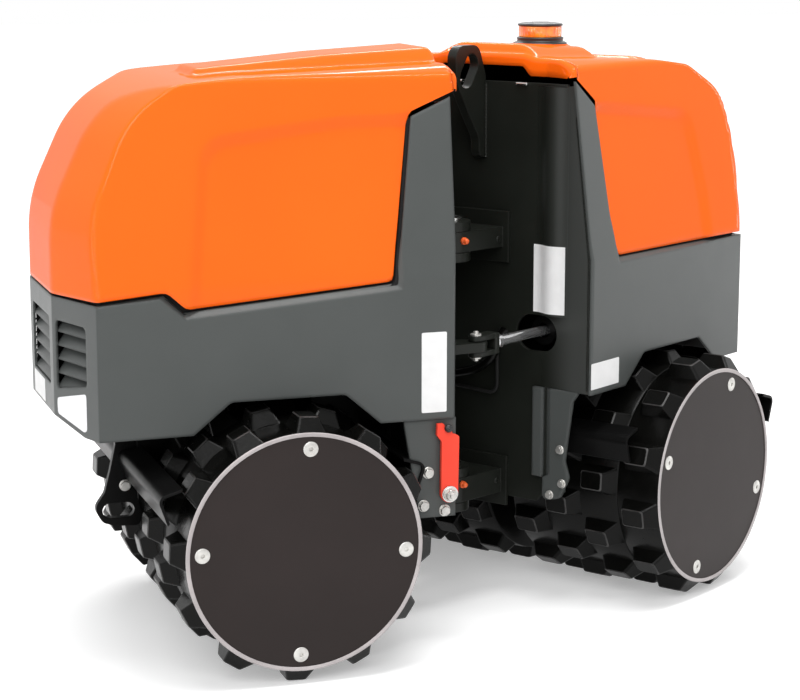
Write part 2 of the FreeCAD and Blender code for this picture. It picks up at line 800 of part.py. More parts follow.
def arm_plate(reach, half_width, low, high):
    """A flat arm from the wall to a round end about the steering axis."""
    flat = prism("XY", [(0, -ear_radius), (reach, -half_width), (reach, half_width), (0, ear_radius)], low, high)
    round_end = rod(ear_radius, (0, 0, low), (0, 0, high))
    return flat.fuse(round_end)


def make_joint_ears():
    """The forked ears on the front half, above and below each arm."""
    solids = []
    for centre, thick in ((upper_joint_height, upper_arm_thickness), (lower_joint_height, lower_arm_thickness)):
        for side in (1, -1):
            near = centre + side * (thick / 2 + joint_gap)
            far = near + side * ear_thickness
            low, high = min(near, far), max(near, far)
            ear = arm_plate(wall_distance, ear_root_half_width, low, high)
            solids.append(ear.cut(rod(joint_pin_radius, (0, 0, low - 1), (0, 0, high + 1))))
    return solids


def make_joint_pins():
    """The two upright pins of the steering joint, with a head on top of each."""
    solids = []
    for centre, thick in ((upper_joint_height, upper_arm_thickness), (lower_joint_height, lower_arm_thickness)):
        reach = thick / 2 + joint_gap + ear_thickness
        shaft = rod(joint_pin_radius, (0, 0, centre - reach - 6), (0, 0, centre + reach))
        head = rod(joint_pin_radius + 12, (0, 0, centre + reach), (0, 0, centre + reach + 8))
        solids.append(fused([shaft, head]))
    return solids


def make_joint_arms():
    """The arms on the rear half that turn on the pins, each with its flange on the wall."""
    solids = []
    for centre, thick in ((upper_joint_height, upper_arm_thickness), (lower_joint_height, lower_arm_thickness)):
        low = centre - thick / 2
        high = centre + thick / 2
        arm = arm_plate(wall_distance, ear_root_half_width, low, high)
        flange = box(wall_distance - flange_thickness, wall_distance, -flange_half_width, flange_half_width,
                     centre - flange_half_height, centre + flange_half_height)
        bore = rod(joint_pin_radius + running_clearance, (0, 0, low - 1), (0, 0, high + 1))
        solids.append(fused([arm, flange]).cut(bore))
    return solids


def make_cylinder_ear():
    """The ear on the front half that takes the rod's eye, out past the steering axis."""
    low = cylinder_height - cylinder_ear_thickness / 2
    high = cylinder_height + cylinder_ear_thickness / 2
    eye = rod(cylinder_ear_radius, (-rod_pin_forward, -rod_pin_distance, low), (-rod_pin_forward, -rod_pin_distance, high))
    y = rod_pin_distance
    arm = prism("XY", [(-rod_pin_forward, -y - cylinder_ear_radius), (wall_distance, -y - 40),
                       (wall_distance, -y + 60), (-rod_pin_forward, -y + cylinder_ear_radius)], low, high)
    return fused([arm, eye]).cut(make_joint_wall(front))


def rod_eye_in_rear(angle):
    """The rod's eye seen from the rear half when it is steered by the angle."""
    a = math.radians(angle)
    x, y = rod_pin_forward, -rod_pin_distance
    return x * math.cos(a) + y * math.sin(a), -x * math.sin(a) + y * math.cos(a)


def cylinder_length(angle):
    x, y = rod_eye_in_rear(angle)
    return math.hypot(barrel_pin_distance - x, -barrel_pin_offset - y)


def cylinder_direction(angle):
    x, y = rod_eye_in_rear(angle)
    return math.degrees(math.atan2(y + barrel_pin_offset, x - barrel_pin_distance))


def lay_cylinder(shape):
    """Turns a shape drawn from its barrel pin along +X into its place on the rear half."""
    shape.rotate(Vector(0, 0, 0), Vector(0, 0, 1), cylinder_direction(steer_angle))
    shape.translate(Vector(barrel_pin_distance, -barrel_pin_offset, cylinder_height))
    return shape


def make_barrel():
    """The steering cylinder's barrel with its eye at the closed end."""
    start = barrel_eye_radius
    tube = rod(barrel_radius, (start - 6, 0, 0), (barrel_length, 0, 0))
    eye = rod(barrel_eye_radius, (0, 0, -barrel_eye_radius), (0, 0, barrel_eye_radius))
    body = fused([tube, eye])
    body = body.cut(rod(barrel_pin_radius + running_clearance, (0, 0, -50), (0, 0, 50)))
    body = body.cut(rod(rod_radius + running_clearance, (start + 4, 0, 0), (barrel_length + 1, 0, 0)))
    return lay_cylinder(body)


def make_rod():
    """The chromed rod with a fork over the front half's ear."""
    length = cylinder_length(steer_angle)
    back = length - fork_length
    shaft = rod(rod_radius, (barrel_length - rod_overlap, 0, 0), (back, 0, 0))
    inner = cylinder_ear_thickness / 2 + fork_gap
    outer = inner + fork_plate
    block = box(back - 14, back, -fork_half_width, fork_half_width, -outer, outer)
    solids = [shaft, block]
    for side in (1, -1):
        low, high = min(side * inner, side * outer), max(side * inner, side * outer)
        solids.append(box(back - 1, length, -fork_half_width, fork_half_width, low, high))
        solids.append(rod(fork_half_width, (length, 0, low), (length, 0, high)))
        solids.append(rod(fork_half_width - 5, (length, 0, side * outer), (length, 0, side * (outer + 5))))
    return lay_cylinder(fused(solids))


def make_barrel_pin():
    """The upright pin on the rear floor pan that the barrel swings on."""
    base = arch_top + 4 + floor_pan_thickness
    x, y = barrel_pin_distance, -barrel_pin_offset
    foot = rod(barrel_eye_radius, (x, y, base), (x, y, cylinder_height - barrel_radius - 2))
    shaft = rod(barrel_pin_radius, (x, y, base), (x, y, cylinder_height + barrel_eye_radius + 6))
    return fused([foot, shaft])


def make_lifting_eye():
    """The upright plate with the single lifting slot, welded to the rear wall."""
    inner = eye_inner
    back = wall_distance - 23
    corners = [(wall_distance, eye_tail_height), (back, eye_tail_height, 20), (back, eye_tail_height + 43, 30),
               (inner + 36, eye_top - 142, 30), (inner - 4, eye_top - 80), (inner - 14, eye_top, 30),
               (inner + 74, eye_top, 30),
               (wall_distance, roof_inner_height + 4)]
    plate = prism("XZ", corners, -eye_plate_thickness / 2, eye_plate_thickness / 2)
    slot = obround("XZ", 0, 0, eye_slot_height, eye_slot_width, -30, 30)
    slot.rotate(Vector(0, 0, 0), Vector(0, 1, 0), eye_slot_lean)
    slot.translate(Vector(inner + 39, 0, eye_slot_centre_height))
    return plate.cut(slot)


def make_lock_bar():
    """The red bar that pins the two halves together for transport."""
    s, z = bar_pivot, bar_pivot_height
    half = bar_width / 2
    y = -side_plate_half_width - side_plate_thickness
    corners = [(s - half, z), (s + half, z), (s + half - 1, z + 111), (s + half + 9, z + 124), (s + half + 8, bar_top),
               (s + half - 6, bar_top, 3), (s + half - 9, bar_top - 11, 3), (s - 4, bar_top - 13, 3),
               (s - half + 13, bar_top - 22), (s - half - 2, z + 121, 6)]
    plate = prism("XZ", corners, y - bar_gap - bar_thickness, y - bar_gap)
    end = rod(half, (s, y - bar_gap - bar_thickness, z), (s, y - bar_gap, z))
    bore = rod(bar_pin_radius + running_clearance, (s, y - 40, z), (s, y + 1, z))
    return fused([plate, end]).cut(bore)


def make_lock_bar_pin():
    s, z = bar_pivot, bar_pivot_height
    y = -side_plate_half_width - side_plate_thickness
    outer = y - bar_gap - bar_thickness
    shaft = rod(bar_pin_radius, (s, y, z), (s, outer - 10, z))
    washer = rod(bar_pin_radius + 8, (s, outer - 1, z), (s, outer - 4, z))
    return fused([shaft, washer])


# ---------------------------------------------------------------- beacon and cap


def make_beacon_base():
    z = beacon_foot_height
    foot = Part.makeCone(beacon_base_radius, beacon_radius, beacon_base_height, Vector(beacon_distance, 0, z))
    return foot


def make_beacon_lens():
    z = beacon_foot_height + beacon_base_height
    return rod(beacon_radius - 2, (beacon_distance, 0, z), (beacon_distance, 0, z + beacon_lens_height))


def make_beacon_cap():
    z = beacon_foot_height + beacon_base_height + beacon_lens_height
    return rod(beacon_radius, (beacon_distance, 0, z), (beacon_distance, 0, z + beacon_cap_height))


# ---------------------------------------------------------------- drums, drawn about their own axle


def on_rim(radius, turn, y):
    """A point about the axle; turn 0 is up and grows towards the half's outer end."""
    a = math.radians(turn)
    return Vector(radius * math.sin(a), y, radius * math.cos(a))


def flat_sided(radius, low, high, turn):
    """A body with two flats to each lug; the radius is to the middle of a flat."""
    flats = 2 * lug_count
    step = 360.0 / flats
    corner_radius = radius / math.cos(math.radians(step / 2))
    corners = [on_rim(corner_radius, turn + step * (k + 0.5), min(low, high)) for k in range(flats)]
    face = Part.Face(Part.makePolygon(corners + corners[:1]))
    return face.extrude(Vector(0, abs(high - low), 0))


def flat_faced(foot, top):
    """A solid between two four-cornered ends, with flat faces."""
    quads = [foot, top]
    for k in range(4):
        following = (k + 1) % 4
        quads.append([foot[k], foot[following], top[following], top[k]])
    faces = [Part.Face(Part.makePolygon(quad + quad[:1])) for quad in quads]
    solid = Part.Solid(Part.Shell(faces))
    if solid.Volume < 0:
        solid.reverse()
    return solid


def lug_row(turn, side, outer):
    """A ring of lugs, each narrowing from the flat it stands on to its tip."""
    root = lug_root_radius * math.cos(math.radians(lug_step / 4))
    tip = math.sqrt(drum_tip_radius ** 2 - lug_tip_half_width ** 2)
    inner = outer - lug_row_width
    solids = []
    for k in range(lug_count):
        here = turn + lug_step * k
        across = on_rim(1.0, here + 90, 0)
        ends = []
        for radius, half_width, far, near in ((root - lug_root_sink, lug_foot_half_width, outer, inner),
                                              (tip, lug_tip_half_width, outer - lug_outer_slope,
                                               inner + lug_inner_slope)):
            middle = on_rim(radius, here, 0)
            ends.append([middle + across * (half_width * way) + Vector(0, side * y, 0)
                         for way, y in ((-1, far), (1, far), (1, near), (-1, near))])
        solids.append(flat_faced(ends[0], ends[1]))
    return solids


def make_drum(half, side):
    """One drum of a pair: a tube with its hub disc and three rows of lugs."""
    outer = drum_half_width - extension_width
    root = lug_root_radius * math.cos(math.radians(lug_step / 4))
    turn = half.drum_turn
    disc = drum_inner_face + hub_disc
    tube = flat_sided(root, side * drum_inner_face, side * outer, turn)
    bore = flat_sided(root - drum_wall, side * disc, side * (outer + 1), turn)
    shaft = rod(axle_radius, (0, side * (drum_inner_face - 1), 0), (0, side * (disc + 1), 0))
    drum = tube.cut(bore).cut(shaft)
    lugs = []
    for row in range(drum_row_count):
        stagger = lug_step / 2 if row % 2 == 0 else 0.0
        lugs += lug_row(turn + stagger, side, outer - 0.5 - lug_row_pitch * row)
    return drum.multiFuse(lugs)


def make_extension(half, side):
    """The bolt-on ring that widens a drum, with its row of lugs and the ledge its end plate sits on."""
    start = drum_half_width - extension_width
    ledge = drum_half_width - end_plate_ledge
    turn = half.drum_turn
    root = lug_root_radius * math.cos(math.radians(lug_step / 4))
    seat = end_plate_radius + running_clearance
    tube = flat_sided(root, side * start, side * drum_half_width, turn)
    bore = flat_sided(seat - drum_wall, side * (start - 1), side * (drum_half_width + 1), turn)
    recess = flat_sided(seat, side * ledge, side * (drum_half_width + 1), turn)
    return tube.cut(bore).cut(recess).multiFuse(lug_row(turn, side, drum_half_width))


def make_end_plate(half, side):
    """The round cover at the drum's outer end, with its four screw holes."""
    out = drum_half_width - end_plate_recess
    inner = drum_half_width - end_plate_ledge
    plate = rod(end_plate_radius, (0, side * inner, 0), (0, side * out, 0))
    plate = plate.cut(rod(axle_radius, (0, side * (inner - 1), 0), (0, side * (out - end_plate_thickness), 0)))
    for quarter in range(4):
        hole = on_rim(screw_circle_radius, half.drum_turn + 90 * quarter, 0)
        plate = plate.cut(rod(screw_hole_radius, (hole.x, side * (inner - 1), hole.z),
                              (hole.x, side * (out + 1), hole.z)))
    return plate


def make_axle():
    """The shaft through the carrier that both drums are fixed to."""
    reach = drum_half_width - end_plate_recess - end_plate_thickness
    return rod(axle_radius, (0, -reach, 0), (0, reach, 0))


# ---------------------------------------------------------------- placing


def to_front(shape):
    return shape.mirror(Vector(0, 0, 0), Vector(1, 0, 0))


def to_rear(shape):
    placed = shape.copy()
    placed.rotate(Vector(0, 0, 0), Vector(0, 0, 1), steer_angle)
    return placed


nodes = {}


def keep(name, shapes, place):
    """Places one node; several solids that don't touch stay apart."""
    if isinstance(shapes, list):
        shapes = Part.makeCompound(shapes)
    nodes[name] = place(shapes)


for half, place in ((front, to_front), (rear, to_rear)):
    name = half.name
    keep(name + "_skirt", make_skirt(half), place)
    keep(name + "_hood", make_hood(half), place)
    keep(name + "_hood_arms", make_hood_arms(half), place)
    keep(name + "_hood_hinges", make_hood_hinges(half), place)
    keep(name + "_floor_pan", make_floor_pan(half), place)
    keep(name + "_joint_wall", make_joint_wall(half), place)
    keep(name + "_lower_plates", make_lower_frame(half), place)
    keep(name + "_drum_carrier", make_carrier(half), place)
    keep(name + "_tie_down_eye", make_tie_down(half), place)
    keep(name + "_scrapers", make_scrapers(half), place)

    def wheel(shape):
        shape.translate(Vector(axle_distance, 0, drum_tip_radius))
        return place(shape)

    for label, side in (("left", 1), ("right", -1)):
        keep(name + "_drum_" + label, make_drum(half, side), wheel)
        keep(name + "_extension_" + label, make_extension(half, side), wheel)
        keep(name + "_end_plate_" + label, make_end_plate(half, side), wheel)
    keep(name + "_axle", make_axle(), wheel)

keep("engine_block", make_engine(), to_front)
keep("steering_ears", make_joint_ears(), to_front)
keep("steering_pins", make_joint_pins(), to_front)
keep("cylinder_ear", make_cylinder_ear(), to_front)
keep("lock_bar", make_lock_bar(), to_front)
keep("lock_bar_pin", make_lock_bar_pin(), to_front)
keep("tank_block", make_tank(), to_rear)
keep("steering_arms", make_joint_arms(), to_rear)
keep("cylinder_barrel", make_barrel(), to_rear)
keep("cylinder_rod", make_rod(), to_rear)
keep("barrel_pin", make_barrel_pin(), to_rear)
keep("lifting_eye", make_lifting_eye(), to_rear)
keep("beacon_base", make_beacon_base(), to_rear)
keep("beacon_lens", make_beacon_lens(), to_rear)
keep("beacon_cap", make_beacon_cap(), to_rear)

os.makedirs("parts", exist_ok=True)
for node, shape in nodes.items():
    shape.exportStep("parts/" + node + ".step")
    print(node, len(shape.Solids), round(shape.Volume / 1e6, 3), shape.isValid())
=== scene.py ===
# Dresses the articulated trench roller: paint, rubber, steel, small hardware and the studio around it.
import bpy
import json
import math
import numpy as np
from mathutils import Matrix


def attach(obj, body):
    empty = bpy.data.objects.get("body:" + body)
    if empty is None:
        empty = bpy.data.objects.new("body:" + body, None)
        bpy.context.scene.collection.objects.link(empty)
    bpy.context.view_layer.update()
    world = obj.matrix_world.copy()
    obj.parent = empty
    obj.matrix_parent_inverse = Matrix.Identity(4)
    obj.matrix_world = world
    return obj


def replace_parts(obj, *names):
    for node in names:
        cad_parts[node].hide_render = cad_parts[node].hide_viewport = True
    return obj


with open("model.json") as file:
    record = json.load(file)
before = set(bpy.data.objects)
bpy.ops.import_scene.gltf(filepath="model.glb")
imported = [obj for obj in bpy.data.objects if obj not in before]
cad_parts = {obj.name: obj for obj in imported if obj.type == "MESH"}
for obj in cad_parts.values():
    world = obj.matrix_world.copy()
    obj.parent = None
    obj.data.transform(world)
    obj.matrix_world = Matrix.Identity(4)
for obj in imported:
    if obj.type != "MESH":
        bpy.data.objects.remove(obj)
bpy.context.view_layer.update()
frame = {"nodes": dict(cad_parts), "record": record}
nodes = frame["nodes"]
print("frame loaded:", len(nodes), "pieces")

steerAngle = math.radians(33.7)   # the rear half stands at its steering lock


def toRow(points, half):
    # local (outward, sideways, up) to the row frame: the front half runs along -X, the rear one is turned by the lock
    p = np.asarray(points, float)
    if half == "front":
        return p * np.array([-1, 1, 1])
    c, s = math.cos(steerAngle), math.sin(steerAngle)
    return np.stack([p[..., 0] * c - p[..., 1] * s, p[..., 0] * s + p[..., 1] * c, p[..., 2]], axis=-1)


def gridFaces(nu, nv, wrapU=False, wrapV=False):
    # quads between neighbouring rows and columns of a grid; a wrapped direction joins its last line to its first
    u = np.arange(nu if wrapU else nu - 1)
    v = np.arange(nv if wrapV else nv - 1)
    i, j = np.meshgrid(u, v, indexing="ij")
    i2, j2 = (i + 1) % nu, (j + 1) % nv
    return np.stack([i * nv + j, i2 * nv + j, i2 * nv + j2, i * nv + j2], axis=-1).reshape(-1, 4)


def signedVolume(points, faces, caps):
    # sum of the tetrahedra from the mean point to each triangle of every face: positive when faces look outward
    q = points - points.mean(axis=0)
    tris = [faces[:, [0, 1, 2]], faces[:, [0, 2, 3]]]
    tris += [np.array([[c[0], c[k], c[k + 1]] for k in range(1, len(c) - 1)]) for c in caps]
    t = np.concatenate(tris)
    return np.einsum("ij,ij->i", q[t[:, 0]], np.cross(q[t[:, 1]], q[t[:, 2]])).sum()


def addObject(name, data):
    # a new object in the scene
    obj = bpy.data.objects.new(name, data)
    bpy.context.scene.collection.objects.link(obj)
    return obj


def shapePiece(name, shape, half, material, body, smooth=True, pick=None, crease=None):
    # one piece from a shape (points, quads, end rings) in a half's own millimetres, turned outward and set on the
    # body it moves with; material names one finish or several, with pick giving each face's index
    points, faces, caps = shape
    points = toRow(points / 1000, half)
    if signedVolume(points, faces, caps) < 0:
        faces = faces[:, ::-1]
        caps = [c[::-1] for c in caps]
    mesh = bpy.data.meshes.new(name)
    loops = np.concatenate([faces.ravel()] + caps)
    counts = np.concatenate([np.full(len(faces), 4), np.array([len(c) for c in caps], int)])
    starts = np.concatenate([[0], np.cumsum(counts)[:-1]])
    mesh.vertices.add(len(points))
    mesh.vertices.foreach_set("co", points.astype(np.float32).ravel())
    mesh.loops.add(len(loops))
    mesh.loops.foreach_set("vertex_index", loops.astype(np.int32))
    mesh.polygons.add(len(counts))
    mesh.polygons.foreach_set("loop_start", starts.astype(np.int32))
    mesh.polygons.foreach_set("loop_total", counts.astype(np.int32))
    mesh.polygons.foreach_set("use_smooth", np.full(len(counts), smooth))
    finishes = material if isinstance(material, (list, tuple)) else (material,)
    for one in finishes:
        mesh.materials.append(paint[one])
    if pick is not None:
        mesh.polygons.foreach_set("material_index", np.asarray(pick, np.int32))
    mesh.update(calc_edges=True)
    mesh.validate()
    if crease:
        mesh.set_sharp_from_angle(angle=math.radians(crease))
    obj = addObject(name, mesh)
    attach(obj, body)
    return obj


def spun(profile, sides):
    # rings of (radius, height) or (radius, height, flats) turned about the local z axis; with flats > 2 the ring
    # is a polygon: radius * cos(pi / flats) / cos(angle within the flat)
    turn = np.arange(sides) * 2 * math.pi / sides
    rings = []
    for row in profile:
        reach = np.full(sides, row[0], float)
        if len(row) > 2 and row[2] > 2:
            step = 2 * math.pi / row[2]
            within = np.mod(turn, step) - step / 2
            reach = reach * math.cos(step / 2) / np.cos(within)
        rings.append(np.stack([reach * np.cos(turn), reach * np.sin(turn), np.full(sides, row[1])], axis=1))
    faces = gridFaces(len(rings), sides, wrapV=True)
    caps = [np.arange(sides)[::-1], (len(rings) - 1) * sides + np.arange(sides)]
    return np.concatenate(rings), faces, caps


def axesFor(direction):
    # three unit axes as columns: two across and the given direction
    z = np.array(direction, float)
    z /= np.linalg.norm(z)
    x = np.cross((0, 0, 1) if abs(z[2]) <= 0.95 else (1, 0, 0), z)
    x /= np.linalg.norm(x)
    return np.stack([x, np.cross(z, x), z], axis=1)


def placed(shape, places):
    # the same shape set at many (origin, direction) places, with its spin about the direction in degrees
    points, faces, caps = shape
    allPoints, allFaces, allCaps = [], [], []
    for k, place in enumerate(places):
        origin, direction = place[0], place[1]
        spin = math.radians(place[2]) if len(place) > 2 else 0
        c, s = math.cos(spin), math.sin(spin)
        turned = points @ np.array([[c, s, 0], [-s, c, 0], [0, 0, 1]])
        allPoints.append(turned @ axesFor(direction).T + np.asarray(origin, float))
        allFaces.append(np.asarray(faces) + k * len(points))
        allCaps += [np.asarray(one) + k * len(points) for one in caps]
    return np.concatenate(allPoints), np.concatenate(allFaces), allCaps


def joined(shapes):
    # several (points, faces, caps) as one
    points, faces, caps, start = [], [], [], 0
    for p, f, c in shapes:
        points.append(p)
        faces.append(np.asarray(f, int).reshape(-1, 4) + start)
        caps += [np.asarray(one) + start for one in c]
        start += len(p)
    return np.concatenate(points), np.concatenate(faces), caps


def slab(corners, thickness, edge):
    # a flat plate with arc corners (u, v, radius) and softened rims; local x, y across, z up
    path = roundedPath(corners, closed=True, steps=4)
    after, before = np.roll(path, -1, axis=0), np.roll(path, 1, axis=0)
    along = after - before
    along /= np.hypot(along[:, 0], along[:, 1])[:, None]
    area = (path[:, 0] * after[:, 1] - after[:, 0] * path[:, 1]).sum()
    inward = np.stack([-along[:, 1], along[:, 0]], axis=1) * (1 if area > 0 else -1)
    rows = ((edge, 0), (0, edge), (0, thickness - edge), (edge, thickness))
    rings = [np.column_stack([path + inward * inset, np.full(len(path), level)]) for inset, level in rows]
    count = len(path)
    faces = gridFaces(4, count, wrapV=True)
    return np.concatenate(rings), faces, [np.arange(count)[::-1], 3 * count + np.arange(count)]


def swept(path, section, up=(0, 0, 1)):
    # a closed section (across, up) carried along a path; ends are capped
    path = np.asarray(path, float)
    along = np.gradient(path, axis=0)
    along /= np.linalg.norm(along, axis=1)[:, None]
    up = np.broadcast_to(np.asarray(up, float), along.shape)
    across = np.cross(along, up)
    across /= np.linalg.norm(across, axis=1)[:, None]
    rise = np.cross(across, along)
    section = np.asarray(section, float)
    points = path[:, None] + across[:, None] * section[None, :, :1] + rise[:, None] * section[None, :, 1:]
    n, k = len(path), len(section)
    return points.reshape(-1, 3), gridFaces(n, k, wrapV=True), [np.arange(k)[::-1], (n - 1) * k + np.arange(k)]


def circle(radius, count):
    # evenly turned points at one radius
    turn = np.arange(count) * 2 * math.pi / count
    return np.stack([radius * np.cos(turn), radius * np.sin(turn)], axis=1)


def roundedPath(corners, closed=False, steps=6):
    # a polyline through (u, v, radius) corners with each corner turned by a curve
    points = []
    count = len(corners)
    for i, (u, v, radius) in enumerate(corners):
        here = np.array([u, v], float)
        if radius <= 0 or (not closed and i in (0, count - 1)):
            points.append(here[None])
            continue
        before = np.array(corners[i - 1][:2]) - here
        after = np.array(corners[(i + 1) % count][:2]) - here
        reach = min(radius, 0.45 * np.hypot(*before), 0.45 * np.hypot(*after))
        start = here + before / np.hypot(*before) * reach
        stop = here + after / np.hypot(*after) * reach
        t = np.linspace(0, 1, steps)[:, None]
        points.append((1 - t) ** 2 * start + 2 * t * (1 - t) * here + t ** 2 * stop)
    return np.concatenate(points)


def fitting(name, profile, sides, places, half, material, body=None, **more):
    # a turned shape at every place, on the half's frame or another body
    shape = placed(spun(profile, sides), places)
    return shapePiece(name, shape, half, material, body or half + "_frame", **more)


def addNode(tree, kind, inputs=None, **settings):
    # a node of a kind with its settings; each input is a constant on the socket or a link from another node's socket
    node = tree.nodes.new("ShaderNode" + kind)
    for key, value in settings.items():
        setattr(node, key, value)
    for key, value in (inputs or {}).items():
        if isinstance(value, bpy.types.NodeSocket):
            tree.links.new(value, node.inputs[key])
        else:
            node.inputs[key].default_value = value
    return node


def newMaterial(name):
    # an empty material whose surface is one principled shader
    material = bpy.data.materials.new(name)
    material.use_nodes = True
    tree = material.node_tree
    tree.nodes.clear()
    out = addNode(tree, "OutputMaterial")
    shader = addNode(tree, "BsdfPrincipled")
    tree.links.new(shader.outputs[0], out.inputs[0])
    return material, tree, shader


def noiseOn(tree, scale, detail, roughness=0.5):
    # noise read on object coordinates, so that it holds still on the piece
    coord = addNode(tree, "TexCoord")
    return addNode(tree, "TexNoise", {"Vector": coord.outputs["Object"], "Scale": scale, "Detail": detail,
                                      "Roughness": roughness}).outputs["Fac"]


def finish(name, colour, darker, roughness, roughSpread, mottle, grain, grainDepth, edge, specular, metallic=0,
           coat=0, coatRough=0.08):
    # colour = darker to colour as soft noise goes from 0.3 to 0.7; roughness = value +- spread by a finer noise;
    # the normal = edges rounded over a radius (m), with a fine grain on top
    material, tree, shader = newMaterial(name)
    tint = addNode(tree, "ValToRGB", {0: noiseOn(tree, mottle, 4)})
    for stop, (position, value) in zip(tint.color_ramp.elements, ((0.3, darker), (0.7, colour))):
        stop.position, stop.color = position, (*value, 1)
    tree.links.new(tint.outputs[0], shader.inputs["Base Color"])
    rough = addNode(tree, "MapRange", {"Value": noiseOn(tree, mottle * 5, 5, 0.6),
                                       "To Min": max(0.02, roughness - roughSpread),
                                       "To Max": min(1, roughness + roughSpread)})
    tree.links.new(rough.outputs[0], shader.inputs["Roughness"])
    for key, value in (("Metallic", metallic), ("Coat Weight", coat), ("Coat Roughness", coatRough),
                       ("Specular IOR Level", specular)):
        shader.inputs[key].default_value = value
    bump = addNode(tree, "Bump", {"Height": noiseOn(tree, grain, 2), "Strength": grainDepth, "Distance": 0.001})
    tree.links.new(bump.outputs[0], shader.inputs["Normal"])
    if edge > 0:
        bevel = addNode(tree, "Bevel", {"Radius": edge}, samples=4)
        tree.links.new(bevel.outputs[0], bump.inputs["Normal"])
        if coat > 0:
            tree.links.new(bevel.outputs[0], shader.inputs["Coat Normal"])
    return material


finishStyle = {
    # colour, darker, roughness and its spread, mottle, grain and its depth, edge (m), specular, then where they are
    # not 0, 0 and 0.08: metallic, coat and the coat's roughness
    "orangePaint": ((1, 0.140, 0.006), (0.96, 0.128, 0.005), 0.5, 0.05, 2.2, 260, 0.02, 0, 0, 0, 0.36, 0.03),
    "innerPaint": ((0.020, 0.019, 0.018), (0.012, 0.011, 0.011), 0.7, 0.08, 9, 400, 0.2, 0.0005, 0.1),
    "greyPaint": ((0.074, 0.080, 0.078), (0.065, 0.071, 0.069), 0.36, 0.06, 5, 700, 0.12, 0.009, 0.30),
    # the wall finish is the skirts' grey paint darkened: painted shade for the joint between the halves
    "wallPaint": ((0.015, 0.017, 0.014), (0.010, 0.011, 0.009), 0.34, 0.07, 6, 600, 0.12, 0.003, 0.2),
    "darkPaint": ((0.006, 0.006, 0.006), (0.003, 0.003, 0.003), 0.34, 0.05, 7, 500, 0.1, 0.003, 0.08),
    "drumPaint": ((0.0040, 0.0040, 0.0036), (0.0018, 0.0018, 0.0016), 0.24, 0.09, 9, 160, 0.25, 0.003, 0.12),
    "lugWear": ((0.040, 0.038, 0.037), (0.006, 0.006, 0.006), 0.42, 0.1, 22, 300, 0.3, 0.001, 0.5, 0.2),
    "ringWear": ((0.50, 0.46, 0.46), (0.36, 0.33, 0.33), 0.5, 0.1, 12, 500, 0.1, 0.001, 0.5),
    "platePaint": ((0.031, 0.024, 0.023), (0.024, 0.019, 0.018), 0.36, 0.06, 3, 800, 0.05, 0.001, 0.12),
    "brightSteel": ((0.72, 0.72, 0.70), (0.55, 0.55, 0.54), 0.24, 0.08, 14, 1200, 0.05, 0.001, 0.5, 1),
    "chrome": ((0.88, 0.88, 0.89), (0.84, 0.84, 0.85), 0.16, 0.03, 20, 1500, 0.002, 0, 0.5, 0.9),
    "zincPlate": ((0.68, 0.67, 0.64), (0.46, 0.45, 0.43), 0.38, 0.1, 60, 900, 0.15, 0.0005, 0.5, 0.75),
    "redPaint": ((1, 0.070, 0.034), (0.93, 0.058, 0.028), 0.46, 0.08, 14, 420, 0.25, 0.001, 0.35),
    "blackPlastic": ((0.016, 0.016, 0.017), (0.010, 0.010, 0.011), 0.38, 0.08, 8, 1400, 0.2, 0.001, 0.5),
    "rubberSeal": ((0.012, 0.012, 0.012), (0.007, 0.007, 0.007), 0.75, 0.08, 20, 1100, 0.3, 0.0005, 0.25),
    # the near-black void finish is painted shade for the dim inside behind the louvres
    "voidBlack": ((0.003, 0.003, 0.003), (0.002, 0.002, 0.002), 0.8, 0.05, 9, 500, 0.05, 0.0005, 0.1),
    "engineGrey": ((0.05, 0.05, 0.05), (0.03, 0.03, 0.03), 0.6, 0.1, 6, 200, 0.3, 0.0015, 0.5),
    "amberLens": ((1, 0.42, 0.03), (0.78, 0.14, 0.006), 0.10, 0.03, 55, 400, 0.02, 0.0006, 0.5, 0, 1, 0.03),
    "labelWhite": ((0.86, 0.86, 0.86), (0.80, 0.80, 0.80), 0.5, 0.05, 30, 900, 0.04, 0.0002, 0.3),
    "reflexWhite": ((0.90, 0.90, 0.92), (0.78, 0.78, 0.80), 0.3, 0.08, 260, 420, 0.25, 0.0002, 0.5),
    "greaseOrange": ((1, 0.16, 0.03), (0.90, 0.12, 0.02), 0.4, 0.08, 60, 500, 0.05, 0.0003, 0.5),
}
paint = {name: finish(name, *row) for name, row in finishStyle.items()}
print("finishes made")

# the finish of each material slot of the construction
finishOf = {"orange_paint": "orangePaint", "grey_paint": "greyPaint", "dark_steel": "darkPaint",
            "drum_black": "drumPaint", "plate_dark": "platePaint", "bright_steel": "brightSteel",
            "red_paint": "redPaint", "black_plastic": "blackPlastic", "engine_grey": "engineGrey",
            "amber": "amberLens"}


def paintedLightTint(name, base, tint, way, low, high):
    # a copy of a finish whose colour turns to the tint where |distance along the way| rises from low to high (m):
    # painted light and shade
    material = base.copy()
    material.name = name
    tree = material.node_tree
    shader = [n for n in tree.nodes if n.type == "BSDF_PRINCIPLED"][0]
    colour = shader.inputs["Base Color"]
    coord = addNode(tree, "TexCoord")
    along = addNode(tree, "VectorMath", {0: coord.outputs["Object"], 1: way}, operation="DOT_PRODUCT")
    size = addNode(tree, "Math", {0: along.outputs["Value"]}, operation="ABSOLUTE")
    share = addNode(tree, "MapRange", {"Value": size.outputs[0], "From Min": low, "From Max": high},
                    interpolation_type="SMOOTHSTEP")
    mix = addNode(tree, "Mix", {"Factor": share.outputs[0], "A": colour.links[0].from_socket, "B": (*tint, 1)},
                  data_type="RGBA")
    tree.links.new(mix.outputs["Result"], colour)
    return material
